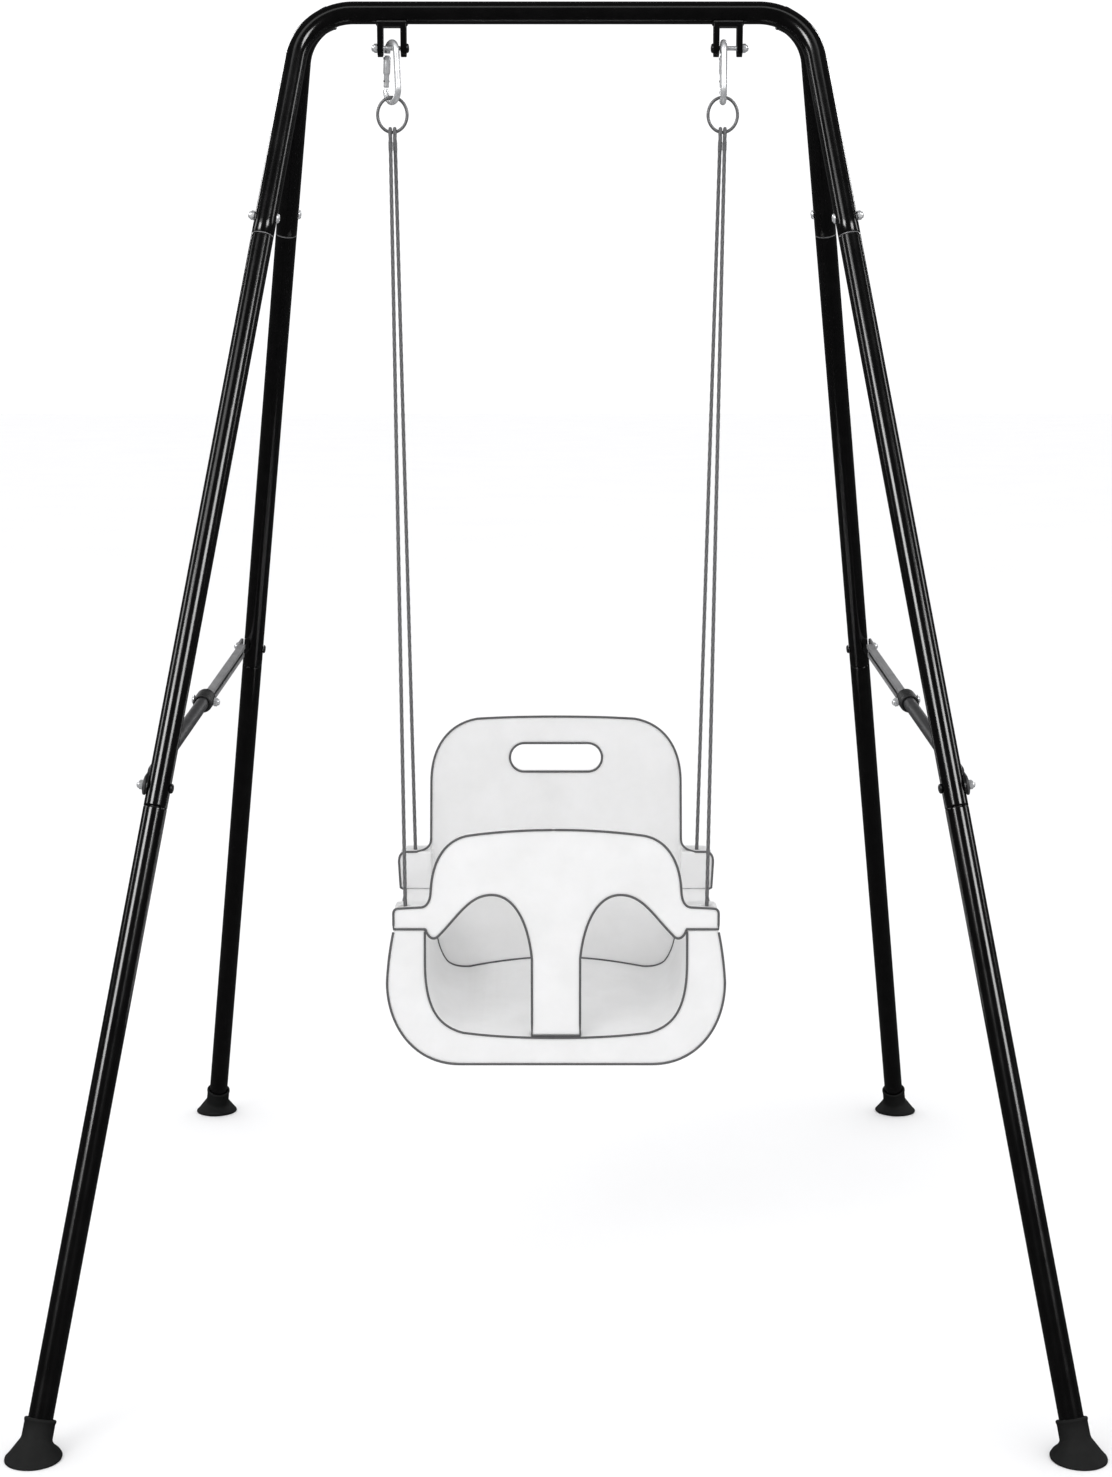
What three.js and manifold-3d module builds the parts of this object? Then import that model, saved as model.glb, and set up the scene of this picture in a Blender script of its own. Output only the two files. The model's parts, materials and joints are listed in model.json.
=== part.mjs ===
// Garden swing set for a small child: a knock-down A-frame stand of round steel tube, with a
// bucket seat hung from it on two snap hooks, two rings and four ropes.
// Millimetres, +Z up, +X to the right of someone facing the seat, who looks along +Y.
// The origin is on the ground, midway between the four feet.
import * as THREE from "three";
import { mergeVertices } from "three/addons/utils/BufferGeometryUtils.js";
import Module from "manifold-3d";

const wasm = await Module();
wasm.setup();

// ---- driving dimensions ----------------------------------------------------------------
const GAP = 0.4; // between pieces that touch

// Stand: tube, the four leg lines, and how far down each leg its joints are
const TUBE_R = 14;
const TUBE_WALL = 1.5;
const TUBE_SIDES = 16;
const BAR_Z = 1643; // axis of the top bar
const CORNER_X = 319; // where a leg line would meet the bar's axis
const BEND_R = 72;
const FRONT_FOOT = [584, -640];
const REAR_FOOT = [550, 640];
const FRONT_JOINTS = { upper: 305, upperBolt: 280, lower: 1035, lowerBolt: 1010 };
const REAR_JOINTS = { upper: 292, upperBolt: 264, lower: 945, lowerBolt: 920 };
const SPIGOT_R = TUBE_R - TUBE_WALL - GAP;
const SPIGOT_WALL = 1.4;
const SPIGOT_LENGTH = 60;
const REAR_STUB_START = 0.3; // share of the bend that the rear stub's coped end skips
const TUBE_END_Z = 12; // the axis height at which a leg tube stops inside its foot

// Feet
const FOOT_R = 32;
const FOOT_EDGE = 3;
const FOOT_FLARE_Z = 19;
const FOOT_SIDES = 18;
const CUP_R = 17.5;
const CUP_TOP_Z = 41;
const CUP_LIP = { height: 3, proud: 0.8 };

// Bolts and cap nuts, all M6
const BOLT_R = 3;
const HOLE_R = 3.4;
const HEAD_R = 6;
const HEAD_H = 3.4;
const NUT_R = 5.8;
const NUT_H = 4.6;
const DOME_H = 3.6;
const BOLT_SIDES = 8;

// Side braces
const BRACE_R = 8.6;
const BRACE_BORE_R = 7.2;
const BRACE_OFFSET = 16.6; // brace axis outside the leg axes
const FLAT_T = 3;
const FLAT_HALF = 12;
const FLAT_LENGTH = 26;
const FLAT_BLEND = 34;
const CHANNEL = { half: 8, depth: 7, wall: 1.6, web: 0.8 };
const TONGUE = { half: 4.8, length: 26 };
const COLLAR = { at: 0.56, length: 34, r: 13, bore: 10 };

// Hangers: the right one is welded a little further out than the left one
const HANGERS = {
  left: { x: -208, hookX: -208.5, yaw: 32, outward: -1 },
  right: { x: 218, hookX: 212.5, yaw: 0, outward: 1 },
};
const BRACKET = { gap: 22.4, plate: 7, half: 12, drop: 43.5, endR: 11 };
const HOOK = { r: 4, height: 82, bottomR: 16, topR: 12, sides: 8 };
// The gate turns at height `pivot` in the hook, and stays clear of the wire at both its ends.
const GATE = { r: 3.4, low: 19, pivot: 57, high: 59, noseGap: 1.5, wireStart: 61, sides: 8 };
const GATE_COVER = { low: 24, high: 50, r: 4.3 };
const RING = { r: 2, width: 41.6, height: 48, sides: 6 };

// Ropes
const ROPE_R = 2.5;
const ROPE_SIDES = 8;
const EYE = { r: 2.3, loop: 4.9, side: 2.9 };
const ROPE_X = 193;
const FRONT_ROPE_Y = -135;
const REAR_ROPE_Y = 118;
const KNOT_Z = 477;
const KNOT_R = 7;

// Seat: a hollow trough, a back and a T-shaped guard
const SEAT_HALF = 217;
const ROOM_HALF = 168; // half the width between the side walls
const SEAT_TOP = 489;
const SEAT_BOTTOM = 311;
const SEAT_FRONT = -150;
const SEAT_REAR = 138;
const SEAT_WALL = 3.5;
const PAN_Z = 346; // pan surface at the front edge
const PAN_RISE = 0.16; // rise of the pan's middle per millimetre towards the back
const PAN_CROWN = { half: 150, share: 0.69 }; // share of the rise that is lost this far out
const BACK_Y = 110; // front face of the back, level with the trough's top
const BACK_LEAN = 0.12;
const BACK_SKIN = 4;
const BACK_RIM = { width: 6, depth: 15 };
const BACK_TOP = 720.5;
const BACK_HALF = 172;
const BACK_FOOT = { half: 165, z: 360 }; // the stretch of the back that stands in the trough
const HAND_SLOT = { half: 63, r: 19, z: 664.5, rim: 5 };
const GUARD_SKIN = 5;
const GUARD_RIM = { width: 7, depth: 22 };
const GUARD_TOP = 620;
const STEM_HALF = 31;
const STEM_FOOT = { half: 27, front: 7, rear: 20, below: 8, above: 16 }; // plugs into the pan
const STEM_SOCKET = { half: 32, front: 4.5, rear: 23, below: 10, above: 20 };
const ARM = { inner: 165, outer: 208, rear: -104, top: 518 };
const EAR = { inner: 171, outer: 216, front: 90, rear: 137, top: 541 };
const GUARD_HOLE_R = 7.5;
const BACK_HOLE_R = 4;
const BASE_HOLE_R = 3.4;
const KNOT_WINDOW = { inner: 196, half: 14, low: 436, high: 474, towardsMiddle: 6 };

// ---- materials -------------------------------------------------------------------------
function paint(color, roughness, metalness) {
  return new THREE.MeshStandardMaterial({ color, roughness, metalness });
}

const MATERIALS = {
  tube: paint(0x0b0a0b, 0.25, 0.4),
  brace: paint(0x4a4a4c, 0.4, 0.5),
  rubber: paint(0x141615, 0.8, 0),
  collar: paint(0x1c1c1e, 0.6, 0),
  zinc: paint(0xb4b7ba, 0.35, 1),
  ring: paint(0x8a8d90, 0.4, 0.9),
  rope: paint(0x66686a, 0.9, 0),
  plastic: paint(0xf1f1ef, 0.45, 0),
};

// ---- solids ----------------------------------------------------------------------------
const vec = (x, y, z) => new THREE.Vector3(x, y, z);
const UP = vec(0, 0, 1);
const ACROSS = vec(1, 0, 0);

function solid(geometry) {
  const plain = geometry.index ? geometry.toNonIndexed() : geometry.clone();
  plain.deleteAttribute("normal");
  plain.deleteAttribute("uv");
  const merged = mergeVertices(plain, 1e-3);
  const vertProperties = merged.attributes.position.array;
  const triVerts = new Uint32Array(merged.index.array);
  return new wasm.Manifold(new wasm.Mesh({ numProp: 3, vertProperties, triVerts }));
}

function geometryOf(made) {
  const mesh = made.getMesh();
  const geometry = new THREE.BufferGeometry();
  geometry.setAttribute("position", new THREE.BufferAttribute(new Float32Array(mesh.vertProperties), 3));
  geometry.setIndex(new THREE.BufferAttribute(new Uint32Array(mesh.triVerts), 1));
  return geometry;
}

const join = (...pieces) => pieces.reduce((all, piece) => all.add(piece));
const cut = (body, ...tools) => tools.reduce((left, tool) => left.subtract(tool), body);

function circle(radius, sides) {
  const turn = (2 * Math.PI) / sides;
  return Array.from({ length: sides }, (_, i) =>
    new THREE.Vector2(radius * Math.cos((i + 0.5) * turn), radius * Math.sin((i + 0.5) * turn)),
  );
}

// A path through given stations, so that straight stretches need no steps of their own.
class StationPath extends THREE.Curve {
  constructor(stations) {
    super();
    this.stations = stations;
  }
  getPointAt(u) {
    return this.stations[Math.round(u * (this.stations.length - 1))].clone();
  }
  getTangentAt(u) {
    const last = this.stations.length - 1;
    const i = Math.round(u * last);
    const before = this.stations[Math.max(i - 1, 0)];
    const after = this.stations[Math.min(i + 1, last)];
    return after.clone().sub(before).normalize();
  }
}

// A round bar or, with a bore, a tube, along a list of stations.
function rod(stations, radius, sides, bore = 0) {
  const section = new THREE.Shape(circle(radius, sides));
  if (bore > 0) section.holes.push(new THREE.Path(circle(bore, sides)));
  const extrudePath = new StationPath(stations);
  return new THREE.ExtrudeGeometry(section, { steps: stations.length - 1, extrudePath });
}

// A closed ring of round wire, whose centreline is an ellipse in the local XZ plane.
function wireRing(halfWidth, halfHeight, radius, sides, steps) {
  const geometry = new THREE.TorusGeometry(1, 0, sides, steps);
  const position = geometry.attributes.position;
  for (let i = 0; i <= sides; i++) {
    for (let j = 0; j <= steps; j++) {
      const around = (j % steps) * ((2 * Math.PI) / steps);
      const across = (i % sides) * ((2 * Math.PI) / sides);
      const centre = vec(halfWidth * Math.cos(around), 0, halfHeight * Math.sin(around));
      const out = vec(Math.cos(around) / halfWidth, 0, Math.sin(around) / halfHeight).normalize();
      centre.addScaledVector(out, radius * Math.cos(across)).add(vec(0, -radius * Math.sin(across), 0));
      position.setXYZ(i * (steps + 1) + j, centre.x, centre.y, centre.z);
    }
  }
  return geometry;
}

// A turned piece: profile points are [radius, distance along the axis].
function turned(profile, sides, origin, axis) {
  const points = profile.map(([r, along]) => new THREE.Vector2(r, along));
  const geometry = new THREE.LatheGeometry(points, sides);
  const turn = new THREE.Quaternion().setFromUnitVectors(vec(0, 1, 0), axis.clone().normalize());
  return geometry.applyQuaternion(turn).translate(origin.x, origin.y, origin.z);
}

// A turned hollow sleeve: its profile closes on itself.
const sleeve = (profile, sides, origin, axis) => turned([...profile, profile[0]], sides, origin, axis);

function drill(point, axis, radius, reach) {
  const start = point.clone().addScaledVector(axis, -reach);
  const end = point.clone().addScaledVector(axis, reach);
  return solid(rod([start, end], radius, BOLT_SIDES));
}

function box(x0, x1, y0, y1, z0, z1) {
  const geometry = new THREE.BoxGeometry(x1 - x0, y1 - y0, z1 - z0);
  return geometry.translate((x0 + x1) / 2, (y0 + y1) / 2, (z0 + z1) / 2);
}

// A plate whose outline is drawn in X and Z and whose thickness runs along Y.
function plate(outline, yFront, yRear) {
  const geometry = new THREE.ExtrudeGeometry(outline, { depth: yRear - yFront, bevelEnabled: false });
  return geometry.rotateX(Math.PI / 2).translate(0, yRear, 0);
}

// ---- model tree ------------------------------------------------------------------------
const group = new THREE.Group();

function place(name, body, material) {
  const mesh = new THREE.Mesh(body.isBufferGeometry ? body : geometryOf(body), MATERIALS[material]);
  mesh.name = name;
  group.add(mesh);
}

// ---- leg lines -------------------------------------------------------------------------
function legLine(side, [footX, footY], joints) {
  const corner = vec(side * CORNER_X, 0, BAR_Z);
  const foot = vec(side * footX, footY, 0);
  const length = corner.distanceTo(foot);
  const down = foot.clone().sub(corner).normalize();
  const at = (s) => corner.clone().addScaledVector(down, s);
  const atHeight = (z) => at(((BAR_Z - z) / BAR_Z) * length);
  // Sideways from the leg, away from the middle of the stand, and square to the tube.
  const out = vec(side, 0, 0).addScaledVector(down, -side * down.x).normalize();
  return { side, corner, foot, down, out, at, atHeight, joints };
}

const LEGS = {};
for (const [word, side] of [["left", -1], ["right", 1]]) {
  LEGS[`${word}_front`] = legLine(side, FRONT_FOOT, FRONT_JOINTS);
  LEGS[`${word}_rear`] = legLine(side, REAR_FOOT, REAR_JOINTS);
}

// Stations of the bend between the bar and a leg, from share `start` of the bend to its end.
function bendStations(leg, steps, start = 0) {
  const inward = vec(-leg.side, 0, 0);
  const angle = Math.PI - inward.angleTo(leg.down);
  const tangent = BEND_R * Math.tan(angle / 2);
  const from = leg.corner.clone().addScaledVector(inward, tangent);
  const towards = leg.down.clone().addScaledVector(inward, -leg.down.dot(inward)).normalize();
  return Array.from({ length: steps + 1 }, (_, i) => {
    const a = angle * (start + ((1 - start) * i) / steps);
    const point = from.clone().addScaledVector(inward, -BEND_R * Math.sin(a));
    return point.addScaledVector(towards, BEND_R * (1 - Math.cos(a)));
  });
}

// ---- stand -----------------------------------------------------------------------------
const boltHole = (leg, s) => drill(leg.at(s), leg.out, HOLE_R, TUBE_R + 4);

function topFrameStations() {
  const left = LEGS.left_front;
  const right = LEGS.right_front;
  const leftBend = bendStations(left, 8).reverse();
  return [left.at(left.joints.upper), ...leftBend, ...bendStations(right, 8), right.at(right.joints.upper)];
}

function topFrame() {
  const tube = solid(rod(topFrameStations(), TUBE_R, TUBE_SIDES, TUBE_R - TUBE_WALL));
  const fronts = [LEGS.left_front, LEGS.right_front];
  return cut(tube, ...fronts.map((leg) => boltHole(leg, leg.joints.upperBolt)));
}

function rearStub(leg) {
  const stations = [...bendStations(leg, 7, REAR_STUB_START), leg.at(leg.joints.upper)];
  const tube = solid(rod(stations, TUBE_R, TUBE_SIDES, TUBE_R - TUBE_WALL));
  const topFrameRoom = solid(rod(topFrameStations(), TUBE_R + GAP, TUBE_SIDES));
  return cut(tube, topFrameRoom, boltHole(leg, leg.joints.upperBolt));
}

// A leg tube with a reduced spigot at its top, which slides into the tube above.
function legTube(leg, top, length) {
  const inner = SPIGOT_R - SPIGOT_WALL;
  const profile = [
    [SPIGOT_R, -SPIGOT_LENGTH],
    [SPIGOT_R, GAP],
    [TUBE_R, GAP],
    [TUBE_R, length],
    [TUBE_R - TUBE_WALL, length],
    [TUBE_R - TUBE_WALL, 8],
    [inner, 4],
    [inner, -SPIGOT_LENGTH],
  ];
  return solid(sleeve(profile, TUBE_SIDES, leg.at(top), leg.down));
}

function middleLeg(leg) {
  const { upper, upperBolt, lower, lowerBolt } = leg.joints;
  return cut(legTube(leg, upper, lower - upper), boltHole(leg, upperBolt), boltHole(leg, lowerBolt));
}

function lowerLeg(leg) {
  const { lower, lowerBolt } = leg.joints;
  const length = leg.at(lower).distanceTo(leg.atHeight(TUBE_END_Z));
  return cut(legTube(leg, lower, length), boltHole(leg, lowerBolt));
}

// A rubber boot: a cup around the tube on a flared disc that stands flat on the ground.
function footBoot(leg) {
  const flare = [
    [0, 0],
    [FOOT_R, 0],
    [FOOT_R, FOOT_EDGE],
    [FOOT_R - 6, FOOT_EDGE + 4],
    [CUP_R + 3, FOOT_FLARE_Z - 6],
    [CUP_R - 1, FOOT_FLARE_Z],
    [0, FOOT_FLARE_Z],
  ];
  const lean = new THREE.Matrix4().set(
    1, 0, leg.down.x / leg.down.z, 0,
    0, 1, leg.down.y / leg.down.z, 0,
    0, 0, 1, 0,
    0, 0, 0, 1,
  );
  const { x, y } = leg.foot;
  const disc = turned(flare, FOOT_SIDES, vec(0, 0, 0), UP).applyMatrix4(lean).translate(x, y, 0);
  const cupTop = leg.atHeight(CUP_TOP_Z);
  const cup = solid(rod([cupTop, leg.atHeight(-FOOT_FLARE_Z)], CUP_R, FOOT_SIDES));
  const lipEnd = leg.atHeight(CUP_TOP_Z - CUP_LIP.height);
  const lip = solid(rod([cupTop, lipEnd], CUP_R + CUP_LIP.proud, FOOT_SIDES));
  const reach = 3 * FOOT_R;
  const ground = solid(box(x - reach, x + reach, y - reach, y + reach, -reach, 0));
  const seatEnd = leg.atHeight(TUBE_END_Z).addScaledVector(leg.down, GAP);
  const bore = solid(rod([leg.atHeight(2 * CUP_TOP_Z), seatEnd], TUBE_R + GAP, TUBE_SIDES));
  return cut(join(solid(disc), cup, lip), ground, bore);
}

// A bolt whose head rests at `seat`, with its shank running along `axis`.
function bolt(seat, axis, length) {
  const profile = [
    [0, -HEAD_H],
    [HEAD_R * 0.6, -HEAD_H * 0.85],
    [HEAD_R, -HEAD_H * 0.35],
    [HEAD_R, -GAP / 2],
    [BOLT_R, -GAP / 2],
    [BOLT_R, length],
    [0, length],
  ];
  return turned(profile, BOLT_SIDES, seat, axis);
}

// A hexagonal cap nut whose open face rests at `seat`, and whose dome points along `axis`.
function capNut(seat, axis, threadLength) {
  const hexagon = turned([[0, GAP / 2], [NUT_R, GAP / 2], [NUT_R, NUT_H], [0, NUT_H]], 6, seat, axis);
  const top = NUT_H + DOME_H;
  const cap = [[0, NUT_H - 1], [NUT_R * 0.8, NUT_H - 1], [NUT_R * 0.62, top - 1], [0, top]];
  const dome = turned(cap, 10, seat, axis);
  const mouth = seat.clone().addScaledVector(axis, -2);
  const threadEnd = seat.clone().addScaledVector(axis, threadLength);
  const thread = rod([mouth, threadEnd], BOLT_R + 0.3, BOLT_SIDES);
  return cut(join(solid(hexagon), solid(dome)), solid(thread));
}

// A bolt and its nut through something that reaches from -inside to +outside along `axis`.
function fasten(prefix, centre, axis, inside, outside) {
  const headSeat = centre.clone().addScaledVector(axis, -inside);
  const nutSeat = centre.clone().addScaledVector(axis, outside);
  place(`${prefix}_bolt`, bolt(headSeat, axis, inside + outside + NUT_H), "zinc");
  place(`${prefix}_nut`, capNut(nutSeat, axis, NUT_H + GAP), "zinc");
}

place("top_frame", topFrame(), "tube");
for (const [name, leg] of Object.entries(LEGS)) {
  if (name.endsWith("rear")) place(`${name}_stub`, rearStub(leg), "tube");
  place(`${name}_middle_leg`, middleLeg(leg), "tube");
  place(`${name}_lower_leg`, lowerLeg(leg), "tube");
  place(`${name}_foot`, footBoot(leg), "rubber");
  fasten(`${name}_upper`, leg.at(leg.joints.upperBolt), leg.out, TUBE_R, TUBE_R);
}

// ---- side braces -----------------------------------------------------------------------
// Local axes of a brace: X runs from its front bolt to its rear bolt, Y points outwards.
function braceFrame(word) {
  const front = LEGS[`${word}_front`];
  const rear = LEGS[`${word}_rear`];
  const start = front.at(front.joints.lowerBolt).addScaledVector(front.out, BRACE_OFFSET);
  const end = rear.at(rear.joints.lowerBolt).addScaledVector(rear.out, BRACE_OFFSET);
  const along = end.clone().sub(start).normalize();
  const out = front.out.clone().addScaledVector(along, -front.out.dot(along)).normalize();
  const frame = new THREE.Matrix4().makeBasis(along, out, along.clone().cross(out)).setPosition(start);
  return { frame, length: start.distanceTo(end), front, rear };
}

// Half-width of a flattened end at distance x from its bolt: a round nose, then parallel sides.
const noseHalf = (x) => (x < 0 ? Math.sqrt(Math.max(FLAT_HALF ** 2 - x ** 2, 1)) : FLAT_HALF);

// A tube squeezed flat over its first stretch, where it is bolted to the front leg.
function frontBraceHalf(end) {
  const nose = [-11.8, -10.6, -8, -4, 0];
  const blend = Array.from({ length: 5 }, (_, i) => FLAT_LENGTH + (i * FLAT_BLEND) / 4);
  const stations = [...nose, ...blend, end].map((x) => vec(x, 0, 0));
  const geometry = rod(stations, BRACE_R, 12);
  const position = geometry.attributes.position;
  for (let i = 0; i < position.count; i++) {
    const x = position.getX(i);
    const round = THREE.MathUtils.smoothstep(x, FLAT_LENGTH, FLAT_LENGTH + FLAT_BLEND);
    const thin = THREE.MathUtils.lerp(FLAT_T / 2 / BRACE_R, 1, round);
    const wide = THREE.MathUtils.lerp(noseHalf(x) / BRACE_R, 1, round);
    position.setXYZ(i, x, position.getY(i) * thin, position.getZ(i) * wide);
  }
  const bore = solid(rod([vec(FLAT_LENGTH + FLAT_BLEND + 6, 0, 0), vec(end + 5, 0, 0)], BRACE_BORE_R, 12));
  return cut(solid(geometry), bore, drill(vec(0, 0, 0), vec(0, 1, 0), HOLE_R, 8));
}

// A folded channel, open towards the middle of the stand, with a flat bolted end and a tongue.
function rearBraceHalf(start, length) {
  const { half, depth, wall, web } = CHANNEL;
  const face = web - wall / 2;
  const back = web + wall / 2;
  const channelEnd = length - FLAT_LENGTH;
  const channel = cut(
    solid(box(start, channelEnd, back - depth, back, -half, half)),
    solid(box(start - 1, channelEnd + 1, back - depth - 1, face, wall - half, half - wall)),
  );
  const tongue = solid(box(start - TONGUE.length, start + 2, face, back, -TONGUE.half, TONGUE.half));
  const nose = new THREE.Shape();
  nose.moveTo(channelEnd - 10, -half);
  nose.lineTo(channelEnd + 4, -FLAT_HALF);
  nose.lineTo(length, -FLAT_HALF);
  nose.absarc(length, 0, FLAT_HALF, -Math.PI / 2, Math.PI / 2, false);
  nose.lineTo(channelEnd + 4, FLAT_HALF);
  nose.lineTo(channelEnd - 10, half);
  const flat = solid(plate(nose, face, face + FLAT_T));
  return cut(join(channel, tongue, flat), drill(vec(length, 0, 0), vec(0, 1, 0), HOLE_R + 0.6, 8));
}

function braceCollar(centre) {
  const { length, r, bore } = COLLAR;
  const ends = length / 2;
  const outside = [[r - 1.5, -ends], [r, 3 - ends], [r, ends - 3], [r - 1.5, ends]];
  const profile = [...outside, [bore, ends], [bore, -ends]];
  return solid(sleeve(profile, 16, vec(centre, 0, 0), ACROSS));
}

function brace(word) {
  const { frame, length, front, rear } = braceFrame(word);
  const middle = COLLAR.at * length;
  const crossHole = drill(vec(middle, 0, 0), vec(0, 1, 0), HOLE_R, COLLAR.r + 4);
  const halfEnd = middle + 12;
  const pieces = {
    front_half: [frontBraceHalf(halfEnd), "brace"],
    rear_half: [rearBraceHalf(halfEnd + GAP, length), "brace"],
    collar: [braceCollar(middle), "collar"],
  };
  for (const [part, [body, material]] of Object.entries(pieces)) {
    const shape = geometryOf(cut(body, crossHole)).applyMatrix4(frame);
    if (frame.determinant() < 0) shape.index.array.reverse();
    place(`${word}_brace_${part}`, shape, material);
  }
  const centre = vec(middle, 0, 0).applyMatrix4(frame);
  const inward = vec(0, -1, 0).transformDirection(frame);
  fasten(`${word}_brace_middle`, centre, inward, COLLAR.r, COLLAR.r);
  const outside = BRACE_OFFSET + FLAT_T;
  const frontBolt = front.at(front.joints.lowerBolt);
  const rearBolt = rear.at(rear.joints.lowerBolt);
  fasten(`${word}_front_lower`, frontBolt, front.out, TUBE_R, outside - FLAT_T / 2 + GAP);
  fasten(`${word}_rear_lower`, rearBolt, rear.out, TUBE_R, outside + GAP);
}
brace("left");
brace("right");

// ---- hangers ---------------------------------------------------------------------------
const BOLT_Z = BAR_Z - BRACKET.drop;
const HOOK_TOP_Z = BOLT_Z + BOLT_R + HOOK.r + GAP; // centre of the hook's wire on the bolt
const HOOK_BOTTOM_Z = HOOK_TOP_Z - (HOOK.height - 2 * HOOK.r);
const RING_TOP_Z = HOOK_BOTTOM_Z + HOOK.r + RING.r + GAP;
const RING_BOTTOM_Z = RING_TOP_Z - (RING.height - 2 * RING.r);

// A folded bracket under the bar: a web and two ears that carry the hook's bolt.
function hangerBracket(x) {
  const { gap, plate: thickness, half, endR } = BRACKET;
  const outer = gap / 2 + thickness;
  const top = BAR_Z - TUBE_R - GAP;
  const side = new THREE.Shape();
  side.moveTo(-half, top);
  side.lineTo(-half, top - 8);
  side.lineTo(-endR, BOLT_Z);
  side.absarc(0, BOLT_Z, endR, Math.PI, 2 * Math.PI, false);
  side.lineTo(half, top - 8);
  side.lineTo(half, top);
  const extrusion = { depth: 2 * outer, bevelEnabled: false, curveSegments: 6 };
  const profile = new THREE.ExtrudeGeometry(side, extrusion);
  const block = profile.rotateX(Math.PI / 2).rotateZ(Math.PI / 2).translate(x - outer, 0, 0);
  const room = solid(box(x - gap / 2, x + gap / 2, -half - 1, half + 1, BOLT_Z - 30, top - 3.2));
  return cut(solid(block), room, drill(vec(x, 0, BOLT_Z), ACROSS, HOLE_R, outer + 2));
}

// A hook is drawn in its own YZ plane, with its wire's lowest centre at the origin. Its gate side
// is a straight line between the ends of its top and bottom arcs.
const HOOK_ARC_Z = HOOK.height - 2 * HOOK.r - HOOK.topR; // centre of the top arc

function gateSide(z) {
  return vec(0, THREE.MathUtils.mapLinear(z, HOOK.bottomR, HOOK_ARC_Z, HOOK.bottomR, HOOK.topR), z);
}

// Stations of a snap hook's wire from the gate's hinge, over the top, down the back and round the
// bottom to the nose.
function hookStations() {
  const { topR, bottomR } = HOOK;
  const arc = (radius, z, from, to, steps) => Array.from({ length: steps + 1 }, (_, i) => {
    const a = from + ((to - from) * i) / steps;
    return vec(0, radius * Math.cos(a), z + radius * Math.sin(a));
  });
  return [
    gateSide(GATE.wireStart),
    ...arc(topR, HOOK_ARC_Z, 0, Math.PI, 8),
    ...arc(bottomR, bottomR, Math.PI, 2 * Math.PI, 10),
    gateSide(GATE.low - GATE.noseGap),
  ];
}

// The gate closes the hook between its nose and its hinge, with a sleeve along its middle.
function hookGate() {
  const { low, high, r, sides } = GATE;
  const bar = solid(rod([gateSide(low), gateSide(high)], r, sides));
  const cover = solid(rod([gateSide(GATE_COVER.low), gateSide(GATE_COVER.high)], GATE_COVER.r, sides));
  return geometryOf(join(bar, cover));
}

function hanger(word) {
  const { x, hookX, yaw, outward } = HANGERS[word];
  place(`${word}_bracket`, hangerBracket(x), "tube");
  const ears = BRACKET.gap / 2 + BRACKET.plate;
  fasten(`${word}_hanger`, vec(x, 0, BOLT_Z), vec(outward, 0, 0), ears, ears);
  const turn = new THREE.Matrix4().makeRotationZ(THREE.MathUtils.degToRad(yaw));
  turn.setPosition(hookX, 0, HOOK_BOTTOM_Z);
  place(`${word}_snap_hook`, rod(hookStations(), HOOK.r, HOOK.sides).applyMatrix4(turn), "zinc");
  place(`${word}_hook_gate`, hookGate().applyMatrix4(turn), "zinc");
  const oval = wireRing(RING.width / 2 - RING.r, RING.height / 2 - RING.r, RING.r, RING.sides, 22);
  place(`${word}_ring`, oval.translate(hookX, 0, (RING_TOP_Z + RING_BOTTOM_Z) / 2), "ring");
}
hanger("left");
hanger("right");

// ---- ropes -----------------------------------------------------------------------------
// Each rope runs from an eye round the ring's bottom to a knot inside the seat's side wall.
function ropeEnds(word, end) {
  const side = HANGERS[word].outward;
  const spread = end === "front" ? side * EYE.side : -side * EYE.side;
  const eye = vec(HANGERS[word].hookX + spread, 0, RING_BOTTOM_Z);
  const knot = vec(side * ROPE_X, end === "front" ? FRONT_ROPE_Y : REAR_ROPE_Y, KNOT_Z);
  return { eye, knot, along: knot.clone().sub(eye).normalize() };
}

function rope(word, end) {
  const { eye, knot, along } = ropeEnds(word, end);
  const loop = wireRing(EYE.loop, EYE.loop, EYE.r, 6, 10).rotateZ(Math.PI / 2).translate(eye.x, eye.y, eye.z);
  const run = rod([eye.clone().addScaledVector(along, EYE.loop), knot], ROPE_R, ROPE_SIDES);
  const ball = new THREE.SphereGeometry(KNOT_R, 8, 5).rotateX(Math.PI / 2).translate(knot.x, knot.y, knot.z);
  return join(solid(loop), solid(run), solid(ball));
}

function ropeHole(word, end, radius) {
  const { eye, knot } = ropeEnds(word, end);
  const share = (SEAT_TOP + 100 - KNOT_Z) / (eye.z - KNOT_Z);
  return solid(rod([knot.clone().lerp(eye, share), knot], radius, 12));
}

for (const word of ["left", "right"]) {
  for (const end of ["front", "rear"]) place(`${word}_${end}_rope`, rope(word, end), "rope");
}

// ---- seat ------------------------------------------------------------------------------
// A closed outline from its right half, listed from top centre to bottom centre.
function mirrored(half) {
  const points = half.getPoints(5);
  const left = points.filter((p) => p.x > 0.01).map((p) => new THREE.Vector2(-p.x, p.y)).reverse();
  return new THREE.Shape([...points, ...left]);
}

// Outside of the trough seen from the front, drawn in by `inset`.
function troughOutline(inset) {
  const half = new THREE.Path();
  half.moveTo(0, SEAT_TOP - inset);
  const side = SEAT_HALF - inset;
  half.lineTo(side - 9.5, SEAT_TOP - inset);
  half.quadraticCurveTo(side - 2, 455, side, 419);
  half.bezierCurveTo(side, 360, 182 - inset * 0.7, SEAT_BOTTOM + inset, 124, SEAT_BOTTOM + inset);
  half.lineTo(0, SEAT_BOTTOM + inset);
  return mirrored(half);
}

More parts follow.
